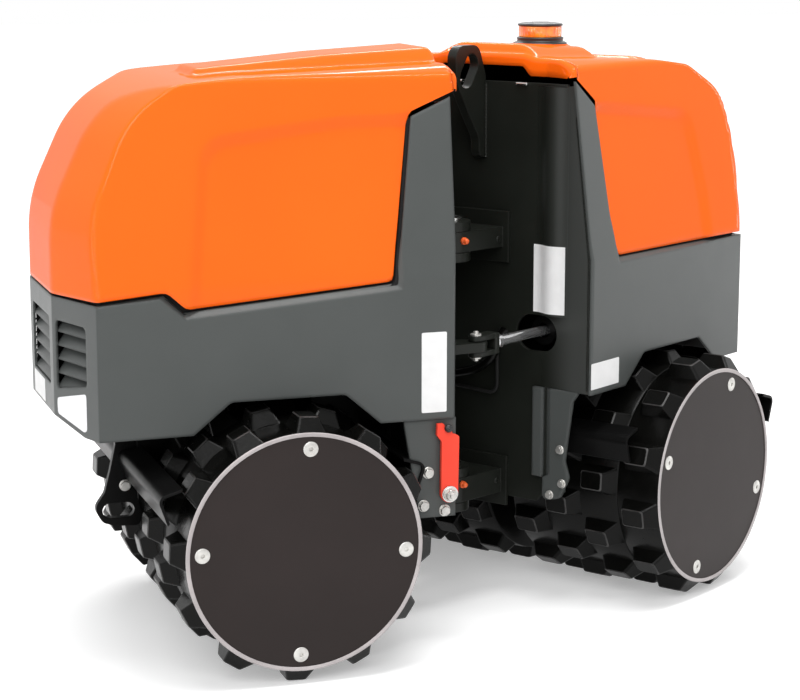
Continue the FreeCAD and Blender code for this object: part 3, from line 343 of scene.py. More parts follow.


# painted shade and painted light: the rear wall's colour stays dark in the middle and pales towards its outer edges,
# as if lit there past the shade between the halves
rearWall = {"tint": (0.052, 0.055, 0.052), "from": 0.165, "to": 0.262}
acrossWall = (math.sin(steerAngle), -math.cos(steerAngle), 0)
paint["rearWallPaint"] = paintedLightTint("rearWallPaint", paint["wallPaint"], rearWall["tint"], acrossWall,
                                  rearWall["from"], rearWall["to"])
# the joint's walls, eye, ears and arms take the darker wall finish, painted shade for the gap between the halves
wallNodes = ("front_joint_wall", "rear_joint_wall", "lifting_eye", "steering_ears", "steering_arms", "cylinder_ear")
for part in frame["record"]["subparts"]:
    node = part["node"]
    chosen = "wallPaint" if node in wallNodes else finishOf[part["material_slot"]]
    nodes[node].material_slots[0].material = paint["rearWallPaint" if node == "rear_joint_wall" else chosen]
print("frame pieces painted")


# the upper body's leaning sides, from the shoulder to the roof's edge, and where its cut corners begin
bodyShape = {"half": 306, "shoulder": 785, "roofHalf": 254, "roof": 1190, "cornerHalf": 133}


def sideAt(z, last=None):
    # half width at a height: half - (half - roofHalf) * share of the way from the shoulder to the roof
    share = (np.asarray(z, float) - bodyShape["shoulder"]) / (bodyShape["roof"] - bodyShape["shoulder"])
    return bodyShape["half"] - (bodyShape["half"] - bodyShape["roofHalf"]) * np.clip(share, 0, last)


hoodStyle = {
    "wall": 0.004,                                # sheet thickness (m); all else in mm
    "edgeRound": 13,                            # roof edge and side corners
    "spineRound": 10,                           # edges of the raised panels
    "lipRound": 12, "lipAside": 14,           # edge beside the joint, and how far it turns in
    "asideFrom": 196, "asideOver": 56, "lipReach": (14, 90),
    "panelSink": 10, "panelSlope": 30,        # depth of the side panel and width of its slope
    "panelBlend": 46, "band": (16, 52, 54.4),   # the panel's corner; the banded roof edge's normal and length
    "thinColumns": 12, "thinShare": 0.1,          # columns beside the lip with a thinner sheet
    "rayLevel": 700, "raySpan": (40, 760),  # height of the axis that rays start from, and how far they reach
    "crownRise": 12, "planRun": 89,           # the middle over the roof's edge; where columns leave the plan
    "lipFoot": 258, "planColumns": 10, "noseCrowd": 0.12, "rowPowers": (1.5, 1.35),
    "sideRows": 74, "roofRows": 42, "straightColumns": 96, "noseColumns": 92,
}
# each hood in its half's own (outward, up) millimetres; corners of lines are (outward, up, rounding)

hoodShape = {
    "front": {
        "end": 880, "side": 822, "turnAt": 705,
        "nose": ((880, 925), (790, 1118), (694, 1176), (505, 1192), (68, 1207)),
        "noseRound": (260, 200, 320, 300),
        "innerEdge": ((0, 400), (68, 68)),
        "lowEdge": ((68, 1159.6, 0), (178, 1114, 12), (206, 890, 60), (211, 855, 60),
                    (219, 783, 10), (645, 746, 10), (684, 782, 10), (820, 769, 60),
                    (890, 764, 0)),
        "panelEnd": ((700, 806, 890, 1014, 1059, 1200), (643, 639, 629, 615, 608, 596)),
        "panelTop": ((0, 172, 313, 434, 541, 700), (1112, 1115, 1114, 1100, 1086, 1066)),
        "spine": ((68, 1235, 95), (300, 1222, 87), (566, 1198.5, 78), (600, 1150, 78)),
        "spineFlank": 1.25, "spineStart": None, "nosePad": None, "seat": None, "mouth": None,
        "lipLevel": 1161, "lipFrom": (1138, 44),
    },
    "rear": {
        "end": 799, "side": 741, "turnAt": 620,
        "nose": ((799, 1000), (741, 1112), (624, 1168), (440, 1192), (105, 1206)),
        "noseRound": (400, 120, 250, 300),
        "innerEdge": ((0, 165, 254, 400), (131, 131, 105, 63)),
        "lowEdge": ((105, 1169.5, 0), (178, 1114, 12), (197, 890, 60), (211, 828, 40),
                    (225, 786, 8), (500, 784, 60), (728, 781, 60), (810, 780, 0)),
        "panelEnd": ((700, 870, 984, 1045, 1100), (620, 606, 582, 568, 553)),
        "panelTop": ((0, 201, 340, 504, 700), (1122, 1116, 1101, 1084, 1062)),
        "spine": ((131, 1232, 88), (160, 1232, 88), (397, 1216, 84), (440, 1150, 84)),
        "spineFlank": 1.6, "spineStart": (136, 1204, 160, 1234),
        "nosePad": (520, 550, 685, 715, 118, 12),
        "seat": (349, 63, 1221), "mouth": (115, 1186),
        "lipLevel": 1165.5, "lipFrom": (1161, 30),
    },
}


def softMax(a, b, k):
    # the larger of two fields, their crossing rounded over a width k
    h = np.clip(1 - np.abs(a - b) / k, 0, None)
    return np.maximum(a, b) + h * h * k * 0.25


def softMin(a, b, k):
    # the smaller of two fields, rounded alike
    return -softMax(-a, -b, k)


def smooth(t):
    # 3 t^2 - 2 t^3 between 0 and 1, flat outside
    t = np.clip(t, 0, 1)
    return t * t * (3 - 2 * t)


def crossWidth(radius, turn):
    # the width over which two planes that meet at the turn are blended for the given corner radius
    return max(2, 1.17 * radius * math.tan(turn / 2) * math.sin(turn))


def noseField(shape, s, z, planes):
    # the largest of the end face and the nose planes, each pair rounded by its own radius
    corners = shape["nose"]
    field = s - shape["end"]
    before = (1, 0)
    for i in range(planes):
        (s0, z0), (s1, z1) = corners[i], corners[i + 1]
        length = math.hypot(s1 - s0, z1 - z0)
        normal = ((z1 - z0) / length, (s0 - s1) / length)
        plane = (s - s0) * normal[0] + (z - z0) * normal[1]
        turn = math.acos(min(1, normal[0] * before[0] + normal[1] * before[1]))
        field = softMax(field, plane, crossWidth(shape["noseRound"][i], turn))
        before = normal
    return field


def hoodField(half, s, y, z):
    # below zero inside the hood: sides that lean, banded roof edges, a rounded nose with cut corners, raised panels
    shape = hoodShape[half]
    w = np.abs(y)
    edge = hoodStyle["edgeRound"]
    wide, shoulder, roofHalf, roofLevel, cornerHalf = bodyShape.values()
    lean = math.atan2(wide - roofHalf, roofLevel - shoulder)
    side = softMax(w - wide, (w - wide) * math.cos(lean) + (z - shoulder) * math.sin(lean), 2)
    endAt = np.interp(z, *shape["panelEnd"])
    topAt = np.interp(s, *shape["panelTop"])
    inside = softMin(endAt - s, topAt - z, hoodStyle["panelBlend"])
    side = side + hoodStyle["panelSink"] * smooth(inside / hoodStyle["panelSlope"])
    bandOut, bandUp, bandLength = hoodStyle["band"]
    band = ((w - roofHalf) * bandOut + (z - roofLevel) * bandUp) / bandLength
    roof = noseField(shape, s, z, 4)
    spine = shape["spine"]
    stations = [p[0] for p in spine]
    top = z - np.interp(s, stations, [p[1] for p in spine])
    flank = shape["spineFlank"]
    reach = math.hypot(1, flank)
    slope = ((w - np.interp(s, stations, [p[2] for p in spine])) + top * flank) / reach
    pad = softMax(top, slope, hoodStyle["spineRound"])
    if shape["spineStart"]:
        s0, z0, s1, z1 = shape["spineStart"]
        length = math.hypot(s1 - s0, z1 - z0)
        front = (-(s - s0) * (z1 - z0) + (z - z0) * (s1 - s0)) / length
        pad = softMax(pad, front, hoodStyle["spineRound"])
    pad = softMax(pad, s - stations[-1], 4)
    roof = softMin(roof, pad, 6)
    if shape["seat"]:
        at, radius, level = shape["seat"]
        seat = softMax(np.hypot(s - at, y) - radius, z - level, 4)
        roof = softMin(roof, seat, 8)
    if shape["nosePad"]:
        a, b, c, d, padHalf, rise = shape["nosePad"]
        base = noseField(shape, s, z, 4)
        raised = rise * smooth((s - a) / (b - a)) * smooth((d - s) / (d - c)) * smooth((padHalf + 40 - w) / 40)
        roof = np.minimum(roof, base - raised)
    slant = (shape["end"] - shape["side"]) / (wide - cornerHalf)
    corner = noseField(shape, s + slant * (w - cornerHalf), z, 2) / math.hypot(1, slant)
    field = softMax(side, band, edge * 0.9)
    field = softMax(field, roof, edge * 0.5)
    return softMax(field, corner, crossWidth(edge * 2.2, math.atan(slant)) + 2)


def meetHood(half, s0, z0, ds, dy, dz):
    # how far along each ray from (s0, 0, z0) the hood's surface lies, by halving the interval
    low, high = [np.full(np.broadcast(s0, ds).shape, reach, float) for reach in hoodStyle["raySpan"]]
    for _ in range(30):
        t = 0.5 * (low + high)
        outside = hoodField(half, s0 + ds * t, dy * t, z0 + dz * t) > 0
        high = np.where(outside, t, high)
        low = np.where(outside, low, t)
    return 0.5 * (low + high)


def spread(path, count):
    # the path resampled at even steps of its length
    length = np.concatenate([[0], np.cumsum(np.hypot(*np.diff(path, axis=0).T))])
    at = np.linspace(0, length[-1], count)
    return np.stack([np.interp(at, length, path[:, 0]), np.interp(at, length, path[:, 1])], axis=1)


# each row's place: 0 to 1 up the side, 1 to 2 over the roof to its middle, closer together at the roof's edge
sidePower, roofPower = hoodStyle["rowPowers"]
hoodRows = np.concatenate([1 - (1 - np.linspace(0, 1, hoodStyle["sideRows"])) ** sidePower,
                           1 + np.linspace(0, 1, hoodStyle["roofRows"])[1:] ** roofPower])


def rowRays(zLow, reach=bodyShape["half"]):
    # the elevation of each row's ray and how far aside it aims: evenly up the leaning side from the foot's level,
    # then in over the roof; reach is how far out the foot is
    zLow, reach = np.asarray(zLow)[..., None], np.asarray(reach)[..., None] / bodyShape["half"]
    up, over = np.clip(hoodRows, 0, 1), np.clip(hoodRows - 1, 0, 1)
    wLow = sideAt(zLow, 1)
    y = (wLow + (bodyShape["roofHalf"] - wLow) * up) * (1 - over) * reach
    z = zLow + (bodyShape["roof"] - zLow) * up + hoodStyle["crownRise"] * over
    return np.arctan2(z - hoodStyle["rayLevel"], y), y


def hoodSurface(half):
    # the hood's outer points, columns by rows, and the number of columns of its straight run: rays from an axis
    # inside it meet its surface along one side, round the nose and back
    shape, z0 = hoodShape[half], hoodStyle["rayLevel"]
    turnAt, innerAt = shape["turnAt"], lambda w: np.interp(w, *shape["innerEdge"])
    low = roundedPath(shape["lowEdge"])
    lastZ = np.interp(turnAt, low[:, 0], low[:, 1])

    # the straight run: the foot follows the lower edge, the crown runs evenly along the roof
    foot = spread(np.concatenate([low[low[:, 0] < turnAt], [[turnAt, lastZ]]]), hoodStyle["straightColumns"])
    foot[0, 0] = innerAt(hoodStyle["lipFoot"]) + hoodStyle["lipRound"]
    angle, w = rowRays(foot[:, 1])
    crown = np.linspace(innerAt(0) + hoodStyle["lipRound"], turnAt, len(foot))[:, None]
    plan = np.clip((bodyShape["roofHalf"] - w) / hoodStyle["planRun"], 0, 1)
    mixBy = np.clip(np.arange(len(foot)) / hoodStyle["planColumns"], 0, 1)[:, None]
    share = plan * (1 - mixBy) + np.clip(hoodRows / 2, 0, 1)[None, :] * mixBy
    s = foot[:, :1] + (crown - foot[:, :1]) * share
    t = meetHood(half, s, z0, np.zeros_like(s), -np.cos(angle), np.sin(angle))
    near = np.stack([s, -np.cos(angle) * t, z0 + np.sin(angle) * t], axis=-1)

    # the nose: rays turn from one side to the other about the crown's end; the foot is found in a few rounds
    turn = np.linspace(-math.pi / 2, math.pi / 2, hoodStyle["noseColumns"])
    turn = turn + hoodStyle["noseCrowd"] * np.sin(2 * turn)
    zLow, reach = np.full(len(turn), lastZ), np.full(len(turn), 250)
    for _ in range(8):
        a = rowRays(zLow, reach)[0][:, 0]
        reach = np.cos(a) * meetHood(half, np.full(len(turn), turnAt), z0, np.cos(turn) * np.cos(a),
                                     np.sin(turn) * np.cos(a), np.sin(a))
        zLow = np.interp(turnAt + np.cos(turn) * reach, low[:, 0], low[:, 1])
    angle = rowRays(zLow, reach)[0]
    ds, dy = np.cos(turn)[:, None] * np.cos(angle), np.sin(turn)[:, None] * np.cos(angle)
    t = meetHood(half, np.full_like(ds, turnAt), z0, ds, dy, np.sin(angle))
    nose = np.stack([turnAt + ds * t, dy * t, z0 + np.sin(angle) * t], axis=-1)
    return np.concatenate([near[:-1], nose, near[::-1][1:] * np.array([1, -1, 1])]), len(near)


def hoodLip(shape, line):
    # the edge beside the joint turned in by a quarter round and carried down and in: seven lines of points
    radius = hoodStyle["lipRound"]
    high, wide = line[:, 2], np.abs(line[:, 1])
    level = shape["lipLevel"]
    if shape["mouth"]:
        level = level + (shape["mouth"][1] - level) * smooth((shape["mouth"][0] + 12 - wide) / 24)
    down = np.clip(high - level, *hoodStyle["lipReach"]) * smooth((high - shape["lipFrom"][0]) / shape["lipFrom"][1])
    aside = hoodStyle["lipAside"] * smooth((wide - hoodStyle["asideFrom"]) / hoodStyle["asideOver"])
    inward = np.stack([-np.sign(line[:, 1]) * aside, -down], axis=1)
    reach = np.hypot(inward[:, 0], inward[:, 1])
    lines = []
    for k in range(1, 8):
        a = min(k, 5) / 5 * math.pi / 2
        deep = radius * (1 - math.cos(a)) + max(0, k - 5) / 2 * (reach - radius)
        moved = line.copy()
        moved[:, 0] -= radius * math.sin(a)
        moved[:, 1:] += inward * (np.broadcast_to(deep, len(line)) / reach)[:, None]
        lines.append(moved)
    return np.array(lines)


def hoodMesh(half):
    # one hood: its outer surface, closed over the crown, with the lip beside the joint; a sheet is grown inward
    grid, ns = hoodSurface(half)
    nc, nr = grid.shape[:2]
    index = np.arange(nc * nr).reshape(nc, nr)
    index[nc - ns:, -1] = index[:ns, -1][::-1]
    index[ns - 1:nc - ns + 1, -1] = index[ns - 1, -1]
    quads = np.stack([index[:-1, :-1], index[1:, :-1], index[1:, 1:], index[:-1, 1:]], axis=-1)
    isNose = np.zeros((nc - 1, nr - 1), bool)
    isNose[ns - 1:nc - ns, -1] = True
    caps = quads[isNose][:, :3]

    edge = np.concatenate([index[0], index[-1, :-1][::-1]])
    points = grid.reshape(-1, 3)
    lip = hoodLip(hoodShape[half], points[edge])
    rings = np.concatenate([edge[None], len(points) + np.arange(lip.size // 3).reshape(lip.shape[:2])])
    lipFaces = np.stack([rings[:-1, :-1], rings[:-1, 1:], rings[1:, 1:], rings[1:, :-1]], axis=-1).reshape(-1, 4)
    points = np.concatenate([points, lip.reshape(-1, 3)])
    faces = np.concatenate([quads[~isNose], lipFaces])

    used = np.unique(np.concatenate([faces.ravel(), caps.ravel()]))
    renumber = np.zeros(len(points), int)
    renumber[used] = np.arange(len(used))
    points, faces, caps = points[used], renumber[faces], list(renumber[caps])
    # near the lip the sheet is thin and orange on both faces
    count = hoodStyle["thinColumns"]
    edgeOnes = renumber[np.concatenate([rings.ravel(), index[:count].ravel(), index[-count:].ravel()])]
    pick = np.concatenate([2 * np.isin(faces, edgeOnes).all(axis=1), np.zeros(len(caps), int)])
    obj = shapePiece(half + "HoodShell", (points, faces, caps), half,
                     ("orangePaint", "innerPaint", "orangePaint", "orangePaint"), half + "_hood_lid", pick=pick)
    thick = obj.vertex_groups.new(name="thick")
    thick.add([int(i) for i in np.setdiff1d(np.arange(len(points)), edgeOnes)], 1, "REPLACE")
    shell = obj.modifiers.new("sheet", "SOLIDIFY")
    shell.material_offset, shell.material_offset_rim = 1, 0
    shell.vertex_group, shell.thickness_vertex_group = "thick", hoodStyle["thinShare"]
    shell.thickness, shell.offset = hoodStyle["wall"], -1
    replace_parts(obj, half + "_hood")


for half in ("front", "rear"):
    hoodMesh(half)
print("hoods shaped")


drumStyle = {
    "axle": 441, "axleHeight": 270,
    "padCount": 12, "padWidth": 90, "padOuterSlope": 25, "padInnerSlope": 12,
    "footRadius": 238, "footHalfWidth": 31.8, "tipRadius": 269.3, "tipHalfWidth": 20,
    "padBevel": 1.8, "padCorner": 5,
    "shellSides": 96, "turn": {"front": -3.2, "rear": 18.6},
    "padRows": ((319.5, 15), (224.5, 0), (129.5, 15)),         # outer face from the middle, turn within the pitch
    "extensionRows": ((425, 0),), "wornRings": (4, 5, 6, 7),   # and which steps of the extension's profile are worn
    "screwCircle": 208.5, "screwHead": 15.5, "screwFace": 423,
}
# profiles as (radius, distance from the middle)
drumProfile = ((46, 34), (236, 34), (240, 36), (242, 40), (242, 316), (240, 320), (231, 320), (231, 46), (46, 46))
extensionProfile = ((223, 320), (240, 320), (242, 324), (242.4, 420), (242.2, 424), (240.6, 425.6), (235, 425.6),
                    (233.8, 425), (233.8, 423.2), (235.2, 423), (235.2, 405), (223, 405))


def axlePoint(radius, turn, y):
    # a point at a radius and an angle from straight up, on the half's own drum axis
    return np.stack([drumStyle["axle"] + radius * np.sin(turn), np.broadcast_to(y, np.shape(radius + turn)),
                     drumStyle["axleHeight"] + radius * np.cos(turn)], axis=-1)


def roundShell(profile, side):
    # the profile (radius, distance from the middle) turned about the axle
    count = drumStyle["shellSides"]
    turn = np.arange(count) * 2 * math.pi / count
    rows = np.array(profile, float)
    points = axlePoint(rows[:, :1], turn[None, :], side * rows[:, 1:2])
    return points.reshape(-1, 3), gridFaces(len(rows), count, wrapU=True, wrapV=True), []


def padRings():
    # twelve-point rings from the sunk foot to the bevelled tip: (across, along, radius) rows for one pad,
    # with along measured inward from the row's outer face
    s = drumStyle
    rise = s["tipRadius"] - s["footRadius"]
    bevel = s["padBevel"]
    rings = []
    for share, shrink in ((0, 0), (1 - bevel / rise, 0), (1, bevel)):
        half = s["footHalfWidth"] + (s["tipHalfWidth"] - s["footHalfWidth"]) * share - shrink
        outer = s["padOuterSlope"] * share + shrink
        inner = s["padWidth"] - s["padInnerSlope"] * share - shrink
        r = s["padCorner"]
        corners = []
        for u, v, a in ((half - r, outer + r, -90), (half - r, inner - r, 0), (-half + r, inner - r, 90),
                        (-half + r, outer + r, 180)):
            t = np.radians(a + np.array([0, 45, 90]))
            corners.append(np.stack([u + r * np.cos(t), v + r * np.sin(t)], axis=1))
        ring = np.concatenate(corners)
        rings.append(np.column_stack([ring, np.full(12, s["footRadius"] + rise * share)]))
    return np.array(rings)


def padSet(half, side, rows):
    # every pad of the given rows, and which of its faces are worn: those of the bevel round the tip
    u, v, r = np.moveaxis(padRings(), -1, 0)[:, None]
    count = drumStyle["padCount"]
    outer = np.repeat([row[0] for row in rows], count)[:, None, None]
    shift = np.concatenate([row[1] + np.arange(count) * 360 / count for row in rows])
    turn = np.radians(drumStyle["turn"][half] + shift)[:, None, None]
    c, s = np.cos(turn), np.sin(turn)
    points = np.stack([drumStyle["axle"] + r * s + u * c, side * (outer - v),
                       drumStyle["axleHeight"] + r * c - u * s], axis=-1).reshape(-1, 3)
    starts = np.arange(0, len(points), 36)
    faces = (gridFaces(3, 12, wrapV=True) + starts[:, None, None]).reshape(-1, 4)
    caps = [ring + start for start in starts for ring in (np.arange(12)[::-1], 24 + np.arange(12))]
    worn = np.tile(np.repeat((0, 1), 12), len(starts))
    return (points, faces, caps), np.concatenate([worn, np.zeros(len(caps), int)])


def dressShell(half, side, name, part, profile, rows, wornRings=()):
    # a drum or extension: its turned shell, with some rings worn bright, and the pads of its rows
    body = half + "_drums"
    ring = np.repeat(np.arange(len(profile)), drumStyle["shellSides"])
    shell = shapePiece(half + part + "Shell" + name, roundShell(profile, side), half,
                       ("drumPaint", "ringWear") if wornRings else "drumPaint", body,
                       pick=np.isin(ring, wornRings).astype(int), crease=35)
    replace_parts(shell, half + "_" + part.lower() + "_" + name.lower())
    pads, worn = padSet(half, side, rows)
    shapePiece(half + part + "Pads" + name, pads, half, ("drumPaint", "lugWear"), body, pick=worn, smooth=False)


def dressScrews(half, side, name):
    # four countersunk screws in the end plate, each with a small socket
    head = drumStyle["screwHead"]
    profile = ((head - 3, -2.5), (head - 0.4, -0.6), (head, 0), (head - 0.2, 0.9), (head - 1.6, 1.8),
               (6, 2.3), (4.6, 2, 6), (4.2, 1, 6), (4, -1.5, 6))
    places = []
    for k in range(4):
        turn = math.radians(drumStyle["turn"][half] + 90 * k)
        places.append((axlePoint(drumStyle["screwCircle"], turn, side * drumStyle["screwFace"]), (0, side, 0), 17 * k))
    fitting(half + "PlateScrews" + name, profile, 24, places, half, "zincPlate", half + "_drums", crease=30)


for half in ("front", "rear"):
    for side, name in ((-1, "Right"), (1, "Left")):
        dressShell(half, side, name, "Drum", drumProfile, drumStyle["padRows"])
        dressShell(half, side, name, "Extension", extensionProfile, drumStyle["extensionRows"],
                   drumStyle["wornRings"])
        dressScrews(half, side, name)
print("drums dressed")


hardware = {
    "boltHead": 10.5, "boltWasher": 12.5, "smallBolt": 8, "smallWasher": 10,
    "sidePlateBolts": ((144, 379), (154, 310), (108, 297)),      # outward, up
    "rearPlateBolts": ((223, 360), (229, 285), (197, 255)),      # sideways, up
    "tieDownBolt": (716, 329), "markerPin": (713, -12, 362),
    "barNut": (102, -317, 335), "barKnob": (106, -313, 474),
}


def hexBolt(radius, washer):
    # washer, six-sided head with a turned chamfer and the thread's end standing out of it
    height = radius * 0.75
    profile = [(washer, 0), (washer, 1.6), (washer - 0.8, 2.4), (radius, 2.4, 6), (radius, 2.6, 6),
               (radius, 2.2 + height * 0.85, 6), (radius * 0.84, 2.4 + height), (radius * 0.5, 2.5 + height)]
    return spun(profile, 36)


def framePiece(name, shape, half, material, **more):
    # a shape that stays with its half's frame
    return shapePiece(name, shape, half, material, half + "_frame", **more)


def boltPiece(name, places, half, radius=hardware["boltHead"], washer=hardware["boltWasher"], material="zincPlate"):
    # the same bolt at every place
    return framePiece(name, placed(hexBolt(radius, washer), places), half, material, crease=28)


def weldBead(path, radius, ripple):
    # a bead along a path whose radius swells at every ripple
    path = np.asarray(path, float)
    length = np.concatenate([[0], np.cumsum(np.linalg.norm(np.diff(path, axis=0), axis=1))])
    count = int(length[-1] / ripple * 4)
    at = np.linspace(0, length[-1], count)
    line = np.stack([np.interp(at, length, path[:, k]) for k in range(3)], axis=1)
    points, faces, caps = swept(line, circle(1, 8), up=(1, 0.1, 0))
    swell = radius * (1 + 0.16 * np.cos(at / ripple * 2 * math.pi) + 0.06 * np.sin(at * 0.9))
    ring = points.reshape(count, 8, 3)
    ring = line[:, None] + (ring - line[:, None]) * swell[:, None, None]
    return ring.reshape(-1, 3), faces, caps


for side, far in ((-1, ""), (1, "Far")):
    boltPiece("sidePlateBolts" + far, [((s, side * 298, z), (0, side, 0), 11 * k)
                                       for k, (s, z) in enumerate(hardware["sidePlateBolts"])], "front")
for side, label in ((-1, "Near"), (1, "Far")):
    boltPiece("rearPlateBolts" + label, [((118, side * y, z), (-1, 0, 0), 19 * k)
                                         for k, (y, z) in enumerate(hardware["rearPlateBolts"])], "rear",
              radius=hardware["smallBolt"], washer=hardware["smallWasher"])
for half in ("front", "rear"):
    s, z = hardware["tieDownBolt"]
    boltPiece(half + "TieDownBolt", [((s, side * 8, z), (0, side, 0), 8) for side in (-1, 1)], half)
    fitting(half + "MarkerPin", ((5, 0), (6.2, 1), (6.2, 19), (5, 20.5), (3, 21)), 20,
            [(hardware["markerPin"], (0, 0, 1))], half, "zincPlate", crease=30)
fitting("lockBarNut", ((15, 0), (15, 1.8), (14.2, 2.6), (12.2, 2.6, 6), (12.2, 11, 6), (10.4, 12.4), (8.4, 12.6),
                       (8.2, 15.4), (6.6, 15.8), (6.4, 18.6), (5.4, 19.6)), 36,
        [(hardware["barNut"], (0, -1, 0), 14)], "front", "zincPlate", "lock_bar_arm", crease=28)
fitting("lockBarKnob", ((7, 0), (8.6, 1.2), (9, 5), (7.2, 8.6), (4, 10.2), (1, 10.6)), 24,
        [(hardware["barKnob"], (0, -1, 0))], "front", "blackPlastic", "lock_bar_arm")
print("bolts set")


def faceShape(place, across, outward, shape):
    # a flat shape laid on a face: its x runs across, its y up the face and its z outward
    across, outward = np.array(across, float), np.array(outward, float)
    across, outward = across / np.linalg.norm(across), outward / np.linalg.norm(outward)
    points, faces, caps = shape
    return np.asarray(place, float) + points @ np.stack([across, np.cross(outward, across), outward]), faces, caps


def boxCorners(x0, x1, y0, y1, r=3):
    # a rectangle's corners, each with its rounding
    return ((x0, y0, r), (x1, y0, r), (x1, y1, r), (x0, y1, r))


# blank labels and pale reflectors: half, place, across, outward, corners, finish
labels = {
    "sideLabel": ("front", (134, -306, 590), (1, 0, 0), (0, -1, 0), boxCorners(-27, 27, -83, 83), "labelWhite"),
    "lowLabel": ("rear", (164, -306, 532.5), (1, 0, 0), (0, -1, 0), boxCorners(-55, 55, -28.5, 28.5),
                 "labelWhite"),
    "endLabel": ("front", (880, 37, 545), (0, 1, 0), (1, 0, 0), boxCorners(-64, 64, -22, 25), "labelWhite"),
    "reflector": ("front", (822, -306, 0), (58, 173, 0), (173, -58, 0),
                  ((49, 508, 9), (60, 503, 9), (167, 524, 6), (168, 556, 8), (49, 582, 9)), "reflexWhite"),
    "reflectorFar": ("front", (822, 306, 0), (-58, 173, 0), (173, 58, 0),
                     ((-49, 508, 9), (-49, 582, 9), (-168, 556, 8), (-167, 524, 6), (-60, 503, 9)), "reflexWhite"),
}
for name, (half, place, across, outward, corners, sheet) in labels.items():
    framePiece(name, faceShape(place, across, outward, slab(corners, 0.5, 0.15)), half, sheet, smooth=False)

# the joint walls stand at one distance in the middle and lean back beyond it, to the edge's distance
joinWall = {"level": 126, "flat": 165, "run": 141, "edge": {"front": 94, "rear": 114}}
wallFold = {
    "edges": (-150, -234), "rise": 11, "levels": (652, 655, 900, 1146),
    "label": (-143, -228), "labelLevel": 731, "labelHalf": 74,
}


def wallAt(half, w):
    # a joint wall's distance outward: level - (w - flat) * (level - edge) / run beyond the flat
    level = joinWall["level"]
    return level - np.clip(w - joinWall["flat"], 0, None) * (level - joinWall["edge"][half]) / joinWall["run"]


def foldAt(y):
    # the rounded fold beside the flat: wall - rise * sin^2(pi * share across the fold)
    first, last = wallFold["edges"]
    return wallAt("rear", -y) - wallFold["rise"] * np.sin(np.pi * np.clip((first - y) / (first - last), 0, 1)) ** 2


foldY = np.linspace(*wallFold["edges"], 29)
foldBack = [[-wallAt("rear", -foldY[-1]) - 2, foldY[-1]], [-joinWall["level"] - 2, foldY[0]]]
fold = swept([(0, 0, z) for z in wallFold["levels"]],
             np.concatenate([np.column_stack([-foldAt(foldY), foldY]), foldBack]), up=(0, 1, 0))
# the fold takes the rear wall's finish, with its painted shade and painted light
framePiece("rearWallFold", fold, "rear", "rearWallPaint", crease=40)
labelY = np.linspace(*wallFold["label"], 22)
sheet = swept(np.column_stack([foldAt(labelY) - 0.3, labelY, np.full(22, wallFold["labelLevel"])]),
              np.array([[-0.3, -1], [0.3, -1], [0.3, 1], [-0.3, 1]]) * [1, wallFold["labelHalf"]])
framePiece("wallLabel", sheet, "rear", "labelWhite", crease=40)
print("labels laid")


sealShape = {
    # each half's rail from the pillar to the nose corner, and the level at the nose
    "front": {"pillar": 206, "line": ((211, 855, 40), (219, 783, 10), (645, 746, 10), (684, 782, 10),
                                        (822, 769, 20)), "end": (880, 766)},
    "rear": {"pillar": 198, "line": ((206, 858, 40), (225, 786, 8), (500, 784, 60), (741, 781, 20)),
             "end": (799, 780)},
    "gap": 7.5, "inset": 14.5,
    "section": ((12, -11), (12, 6), (4, 6), (2, -5), (-11, -6), (-13, -8), (-12, -11),
                (2, -13)),
}


def sealStrip(half):
    # one strip inside the rim from pillar to pillar round the nose; its lip stands past the gap inside the hood
    shape = sealShape[half]
    line = roundedPath(((180, 1112, 0), (shape["pillar"], 890, 40)) + shape["line"], steps=5)
    line = line - np.array([0, sealShape["gap"]])
    near = np.column_stack([line[:, 0], sealShape["inset"] - sideAt(line[:, 1]), line[:, 1]])
    near[-1, 0] -= 6
    end, level = shape["end"][0], shape["end"][1] - sealShape["gap"]
    plan = np.array([[end - 10, -128, level], [end - 13, 0, level], [end - 10, 128, level]])
    path = np.concatenate([near, plan, near[::-1] * np.array([1, -1, 1])])
    outward = np.zeros_like(path)
    outward[:, 1] = np.sign(path[:, 1])
    n = len(near)
    outward[n - 1:n + 4] = ((0.5, -0.87, 0), (0.95, -0.3, 0), (1, 0, 0), (0.95, 0.3, 0), (0.5, 0.87, 0))
    return swept(path, sealShape["section"], up=outward / np.linalg.norm(outward, axis=1)[:, None])


for half in ("front", "rear"):
    framePiece(half + "HoodSeal", sealStrip(half), half, "rubberSeal", crease=50)

# near-black sheets behind the louvre openings: painted shade for the dim inside of the body
louvre = {"levels": (566, 718), "end": 846, "endHalf": 102, "sink": 33, "across": (40, 172), "sheet": (2, 0.4)}
low, high = louvre["levels"]
cut, run = hoodShape["front"]["end"] - hoodShape["front"]["side"], bodyShape["half"] - bodyShape["cornerHalf"]
backs = [faceShape((louvre["end"], 0, 0), (0, 1, 0), (1, 0, 0),
                   slab(boxCorners(-louvre["endHalf"], louvre["endHalf"], low, high), *louvre["sheet"]))]
for side in (-1, 1):
    out = np.array([run, side * cut, 0]) / math.hypot(run, cut)
    across = (-out[1], out[0], 0)
    place = np.array([hoodShape["front"]["side"], side * bodyShape["half"], 0]) - out * louvre["sink"]
    span = sorted(-side * u for u in louvre["across"])
    backs.append(faceShape(place, across, out, slab(boxCorners(*span, low, high), *louvre["sheet"])))
backs += [faceShape((0, side * 103, 0), (1, 0, 0), (0, -1, 0), slab(boxCorners(846, 874, low, high), *louvre["sheet"]))
          for side in (-1, 1)]
framePiece("louvreShadeBacks", joined(backs), "front", "voidBlack", smooth=False)
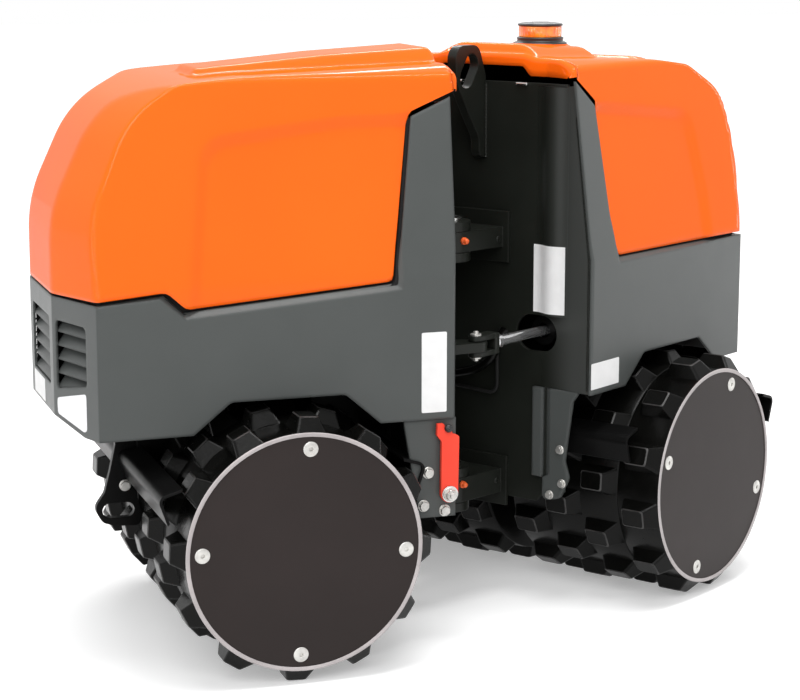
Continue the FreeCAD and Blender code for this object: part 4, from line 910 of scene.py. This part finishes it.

# the welds take the darker wall finish, painted shade
beads = {"from": {"front": 520, "rear": 500}, "to": 1085, "eye": (986, 1148),
         "radius": 3.6, "ripple": 7}
for half in ("front", "rear"):
    z = np.linspace(beads["from"][half], beads["to"], 60)
    w = sideAt(z) - 12
    shapes = [weldBead(np.column_stack([wallAt(half, w) - 0.5, side * w, z]), beads["radius"], beads["ripple"])
              for side in (-1, 1)]
    framePiece(half + "WallWelds", joined(shapes), half, "wallPaint")
z = np.linspace(*beads["eye"], 30)
shapes = [weldBead(np.column_stack([wallAt("rear", 0 * z) - 0.5, 0 * z + side * 12.5, z]), beads["radius"],
                   beads["ripple"]) for side in (-1, 1)]
framePiece("eyePlateWelds", joined(shapes), "rear", "wallPaint")
print("seals and welds laid")


jointStyle = {
    "capLevels": (818, 281), "capReach": 51, "capTurn": 48,       # grease caps on the rear arms' round ends
    "plugLevels": (811, 270), "catches": (-124, 96, 48),
    "crossPlate": 728, "crossLevels": (468, 523), "crossSpan": (9, 262),
    "supplyHose": 10.5, "thinHose": 4,                                  # radii
}
a = math.pi + steerAngle + math.radians(jointStyle["capTurn"])
way, reach = (math.cos(a), math.sin(a), 0), jointStyle["capReach"]
fitting("greaseCaps", ((8, 0), (8, 5.25), (6.4, 6.3), (6.4, 10.5), (4.96, 13.5), (2, 15)), 20,
        [((reach * way[0], reach * way[1], level), way) for level in jointStyle["capLevels"]],
        "rear", "greaseOrange", crease=40)
# the plugs take the darker wall finish, painted shade
fitting("armPlugs", ((7, -0.5), (7, 1.5), (6, 2.6), (3, 3)), 20,
        [((104, side * 63.4, z), (-0.107, side * 0.994, 0)) for side in (-1, 1) for z in jointStyle["plugLevels"]],
        "rear", "wallPaint", crease=40)
fitting("wallCatches", ((2.6, 0), (3.4, 0.8), (3.4, 27.2), (2.6, 28)), 16,
        [((121, y, 1149), (0, 1, 0)) for y in jointStyle["catches"]], "rear", "brightSteel", crease=40)
inner, outer = jointStyle["crossSpan"]
cross = [faceShape((jointStyle["crossPlate"], 0, 0), (0, -1, 0), (-1, 0, 0),
                   slab(boxCorners(a, b, *jointStyle["crossLevels"], 6), 7, 1))
         for a, b in ((inner, outer), (-outer, -inner))]
framePiece("rearCrossPlate", joined(cross), "rear", "darkPaint", smooth=False)
boltPiece("crossPlateBolts", [((721, y, 500), (-1, 0, 0), 12) for y in (-165, 165)], "rear",
          radius=10, washer=12, material="darkPaint")


def wallHose(name, first, corners, last, off, radius, sides, material):
    # a hose laid along the rear wall: a rounded line of (sideways, up) corners at one distance, let in at both ends
    path = roundedPath(corners, steps=9)
    line = np.concatenate([[first], np.column_stack([np.full(len(path), off), path]), [last]])
    framePiece(name, swept(line, circle(radius, sides), up=(1, 0.05, 0.02)), "rear", material)


wallHose("wallSupplyHose", (128, 112, 486),
         ((96, 488, 0), (0, 512, 60), (-46, 545, 40), (-62, 592, 0)), (128, -66, 606),
         111, jointStyle["supplyHose"], 16, "drumPaint")
wallHose("wallHose", (126.5, -52, 604), ((-52, 596, 0), (-53, 463, 26), (70, 470, 0)),
         (126.5, 80, 470.5), 119, jointStyle["thinHose"], 12, "rubberSeal")
print("joint details set")


rodStyle = {"pin": (400, -157, 610), "eye": (-80.45, -138.66, 610), "barFrom": 213, "bar": 11,
            "collar": 14.5, "leaf": 11.6, "leafLevels": (11.2, -22.8), "pinLevel": 22.8}
rodStart, eyeAt = np.array(rodStyle["pin"]), np.array(rodStyle["eye"])
rodLength = float(np.linalg.norm(eyeAt - rodStart))
rodWay = (eyeAt - rodStart) / rodLength
rodAxes = np.stack([rodWay, np.cross((0, 0, 1), rodWay), (0, 0, 1)])


def onEye(corners, thickness, edge, level):
    # a plate across the rod's eye at a level
    points, faces, caps = slab(corners, thickness, edge)
    return eyeAt + points @ rodAxes + (0, 0, level), faces, caps


fitting("rodBar", ((rodStyle["bar"], rodStyle["barFrom"]), (rodStyle["bar"], rodLength - 60)), 40,
        [(rodStart, rodWay)], "rear", "chrome", "steering_rod", crease=40)
fitting("rodCollar", ((11, 0), (rodStyle["collar"], 1.5), (rodStyle["collar"], 15), (12.5, 16.5), (12.5, 19),
                      (16, 20), (16, 30)), 32,
        [(rodStart + rodWay * (rodLength - 82), rodWay)], "rear", "chrome", "steering_rod", crease=40)
leaf = ((-54, -16, 4), (4, -16.5, 12), (17, -8, 10), (17, 8, 10), (4, 16.5, 12), (-54, 16, 4))
fork = [onEye(leaf, rodStyle["leaf"], 1.2, level) for level in rodStyle["leafLevels"]]
fork.append(onEye(boxCorners(-62, -47, -16.5, 16.5), 45, 1.5, -22.5))
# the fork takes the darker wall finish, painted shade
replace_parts(shapePiece("rodFork", joined(fork), "rear", "wallPaint", "steering_rod", crease=30), "cylinder_rod")
fitting("rodPin", ((12, 0), (12, 3), (10.5, 4), (6, 4.2), (5.6, 8.5), (4, 9.5)), 24,
        [(eyeAt + (0, 0, side * rodStyle["pinLevel"]), (0, 0, side)) for side in (1, -1)],
        "rear", "zincPlate", "steering_rod", crease=35)
print("steering rod dressed")


beaconStyle = {"at": (349, 0), "foot": 1221, "lens": 1237, "cap": 1262}


def beaconRings(profile, sides, flutes, depth):
    # turned profile whose radius is lessened by depth * |sin(flutes * angle / 2)|
    points, faces, caps = spun(profile, sides)
    angle = np.arctan2(points[:, 1], points[:, 0])
    shrink = 1 - depth * np.abs(np.sin(flutes * angle / 2)) / 50
    points = points * np.column_stack([shrink, shrink, np.ones(len(points))])
    return points + np.array([*beaconStyle["at"], 0]), faces, caps


for name, node, level, sides, flutes, depth, material, crease, profile in (
        ("beaconFoot", "beacon_base", beaconStyle["foot"], 96, 0, 0, "blackPlastic", 60,
         ((57, 0), (60, 0.6), (60.2, 3), (57.5, 5), (53.5, 6.2), (51.5, 8), (51, 10), (52.2, 12),
          (52.6, 14.2), (51.5, 15.8), (46, 16.4))),
        ("beaconGlass", "beacon_lens", beaconStyle["lens"], 144, 36, 1.1, "amberLens", 50,
         ((46, -1), (47.8, 0), (48.4, 3), (48.4, 22), (47.8, 25), (46, 26))),
        ("beaconCap", "beacon_cap", beaconStyle["cap"], 96, 0, 0, "blackPlastic", 60,
         ((48, -0.5), (50.2, 0.4), (50.6, 2.4), (49.6, 4.4), (45, 6), (36, 7.2), (22, 8.4), (8, 9)))):
    shape = beaconRings([(radius, level + z) for radius, z in profile], sides, flutes, depth)
    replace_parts(shapePiece(name, shape, "rear", material, "rear_hood_lid", crease=crease), node)
print("beacon dressed")


studio = {
    "floorSize": 60, "floorColour": (0.80, 0.80, 0.80), "floorGlow": 0.34,
    "worldStrength": 0.50,
    "suns": (
        # strength, spread, turn, name
        (1.25, 35, (52, 0, -22), "keySun"),
        (1.10, 30, (4, -6, 0), "topSun"),
    ),
    "strips": (
        # place, aim, size, power, name
        ((-4.2, -1.9, 1.5), (-0.5, -0.2, 0.7), (0.12, 2.4), 20, "leftStrip"),
        ((-3.2, -3.5, 0.9), (0.2, -0.1, 0.8), (0.12, 1.6), 10, "jointStrip"),
        ((0.4, -0.9, 3.8), (0, 0, 0.9), (2.4, 0.3), 40, "topStrip"),
        ((0.7, 2.7, 3.1), (0, 0, 1.1), (3.2, 0.3), 55, "backStrip"),
        ((4.4, 0.7, 0.95), (0, 0, 0.7), (0.12, 2.4), 14, "rightStrip"),
    ),
}


def aimAt(obj, target):
    # turns an object's -Z to the target, its own X level
    direction = np.array(target, float) - np.array(obj.location)
    yaw = math.atan2(direction[1], direction[0]) - math.pi / 2
    pitch = math.atan2(direction[2], math.hypot(direction[0], direction[1])) + math.pi / 2
    obj.rotation_euler = (pitch, 0, yaw)


def seenRays(tree):
    # one for rays from the camera, off metal and through glass, zero for the light that falls on things
    rays = addNode(tree, "LightPath").outputs
    pair = addNode(tree, "Math", {0: rays["Is Camera Ray"], 1: rays["Is Glossy Ray"]}, operation="MAXIMUM")
    return addNode(tree, "Math", {0: pair.outputs[0], 1: rays["Is Transmission Ray"]}, operation="MAXIMUM").outputs[0]


def buildStudio():
    # a square floor, an even white surround and the lamps; both shades show white to the seen rays only
    material, tree, shader = newMaterial("floorPale")
    for key, value in (("Base Color", (*studio["floorColour"], 1)), ("Roughness", 0.9), ("Specular IOR Level", 0)):
        shader.inputs[key].default_value = value
    dark, glow = [addNode(tree, "Emission", {"Strength": power}) for power in (0, studio["floorGlow"])]
    pick = addNode(tree, "MixShader", {0: seenRays(tree), 1: dark.outputs[0], 2: glow.outputs[0]})
    add = addNode(tree, "AddShader", {0: shader.outputs[0], 1: pick.outputs[0]})
    out = [n for n in tree.nodes if n.type == "OUTPUT_MATERIAL"][0]
    tree.links.new(add.outputs[0], out.inputs[0])
    half = studio["floorSize"] / 2
    mesh = bpy.data.meshes.new("studioFloor")
    mesh.from_pydata([(-half, -half, 0), (half, -half, 0), (half, half, 0), (-half, half, 0)], [], [(0, 1, 2, 3)])
    mesh.materials.append(material)
    addObject("studioFloor", mesh)

    world = bpy.data.worlds.new("studioWorld")
    bpy.context.scene.world = world
    world.use_nodes = True
    tree = world.node_tree
    tree.nodes.clear()
    soft, white = [addNode(tree, "Background", {"Strength": power, "Color": (1, 1, 1, 1)})
                   for power in (studio["worldStrength"], 1)]
    pick = addNode(tree, "MixShader", {0: seenRays(tree), 1: soft.outputs[0], 2: white.outputs[0]})
    addNode(tree, "OutputWorld", {0: pick.outputs[0]})

    for strength, spread, turn, name in studio["suns"]:
        sun = bpy.data.lights.new(name, "SUN")
        sun.energy = strength
        sun.angle = math.radians(spread)
        addObject(name, sun).rotation_euler = tuple(math.radians(a) for a in turn)
    for place, aim, size, power, name in studio["strips"]:
        lamp = bpy.data.lights.new(name, "AREA")
        lamp.shape = "RECTANGLE"
        lamp.size, lamp.size_y = size
        lamp.energy = power
        obj = addObject(name, lamp)
        obj.location = place
        aimAt(obj, aim)


buildStudio()

cameraView = {"place": (-1.5929, -4.4785, 1.4777), "turn": (79.222, 0, -18.371), "lens": 99.83, "sensor": 36}
cameraData = bpy.data.cameras.new("studioCamera")
cameraData.lens = cameraView["lens"]
cameraData.sensor_width = cameraView["sensor"]
cameraData.clip_end = 100
camera = addObject("studioCamera", cameraData)
camera.location = cameraView["place"]
camera.rotation_euler = tuple(math.radians(a) for a in cameraView["turn"])
bpy.context.scene.camera = camera
bpy.context.scene.view_settings.view_transform = "Standard"
print("studio and camera set")
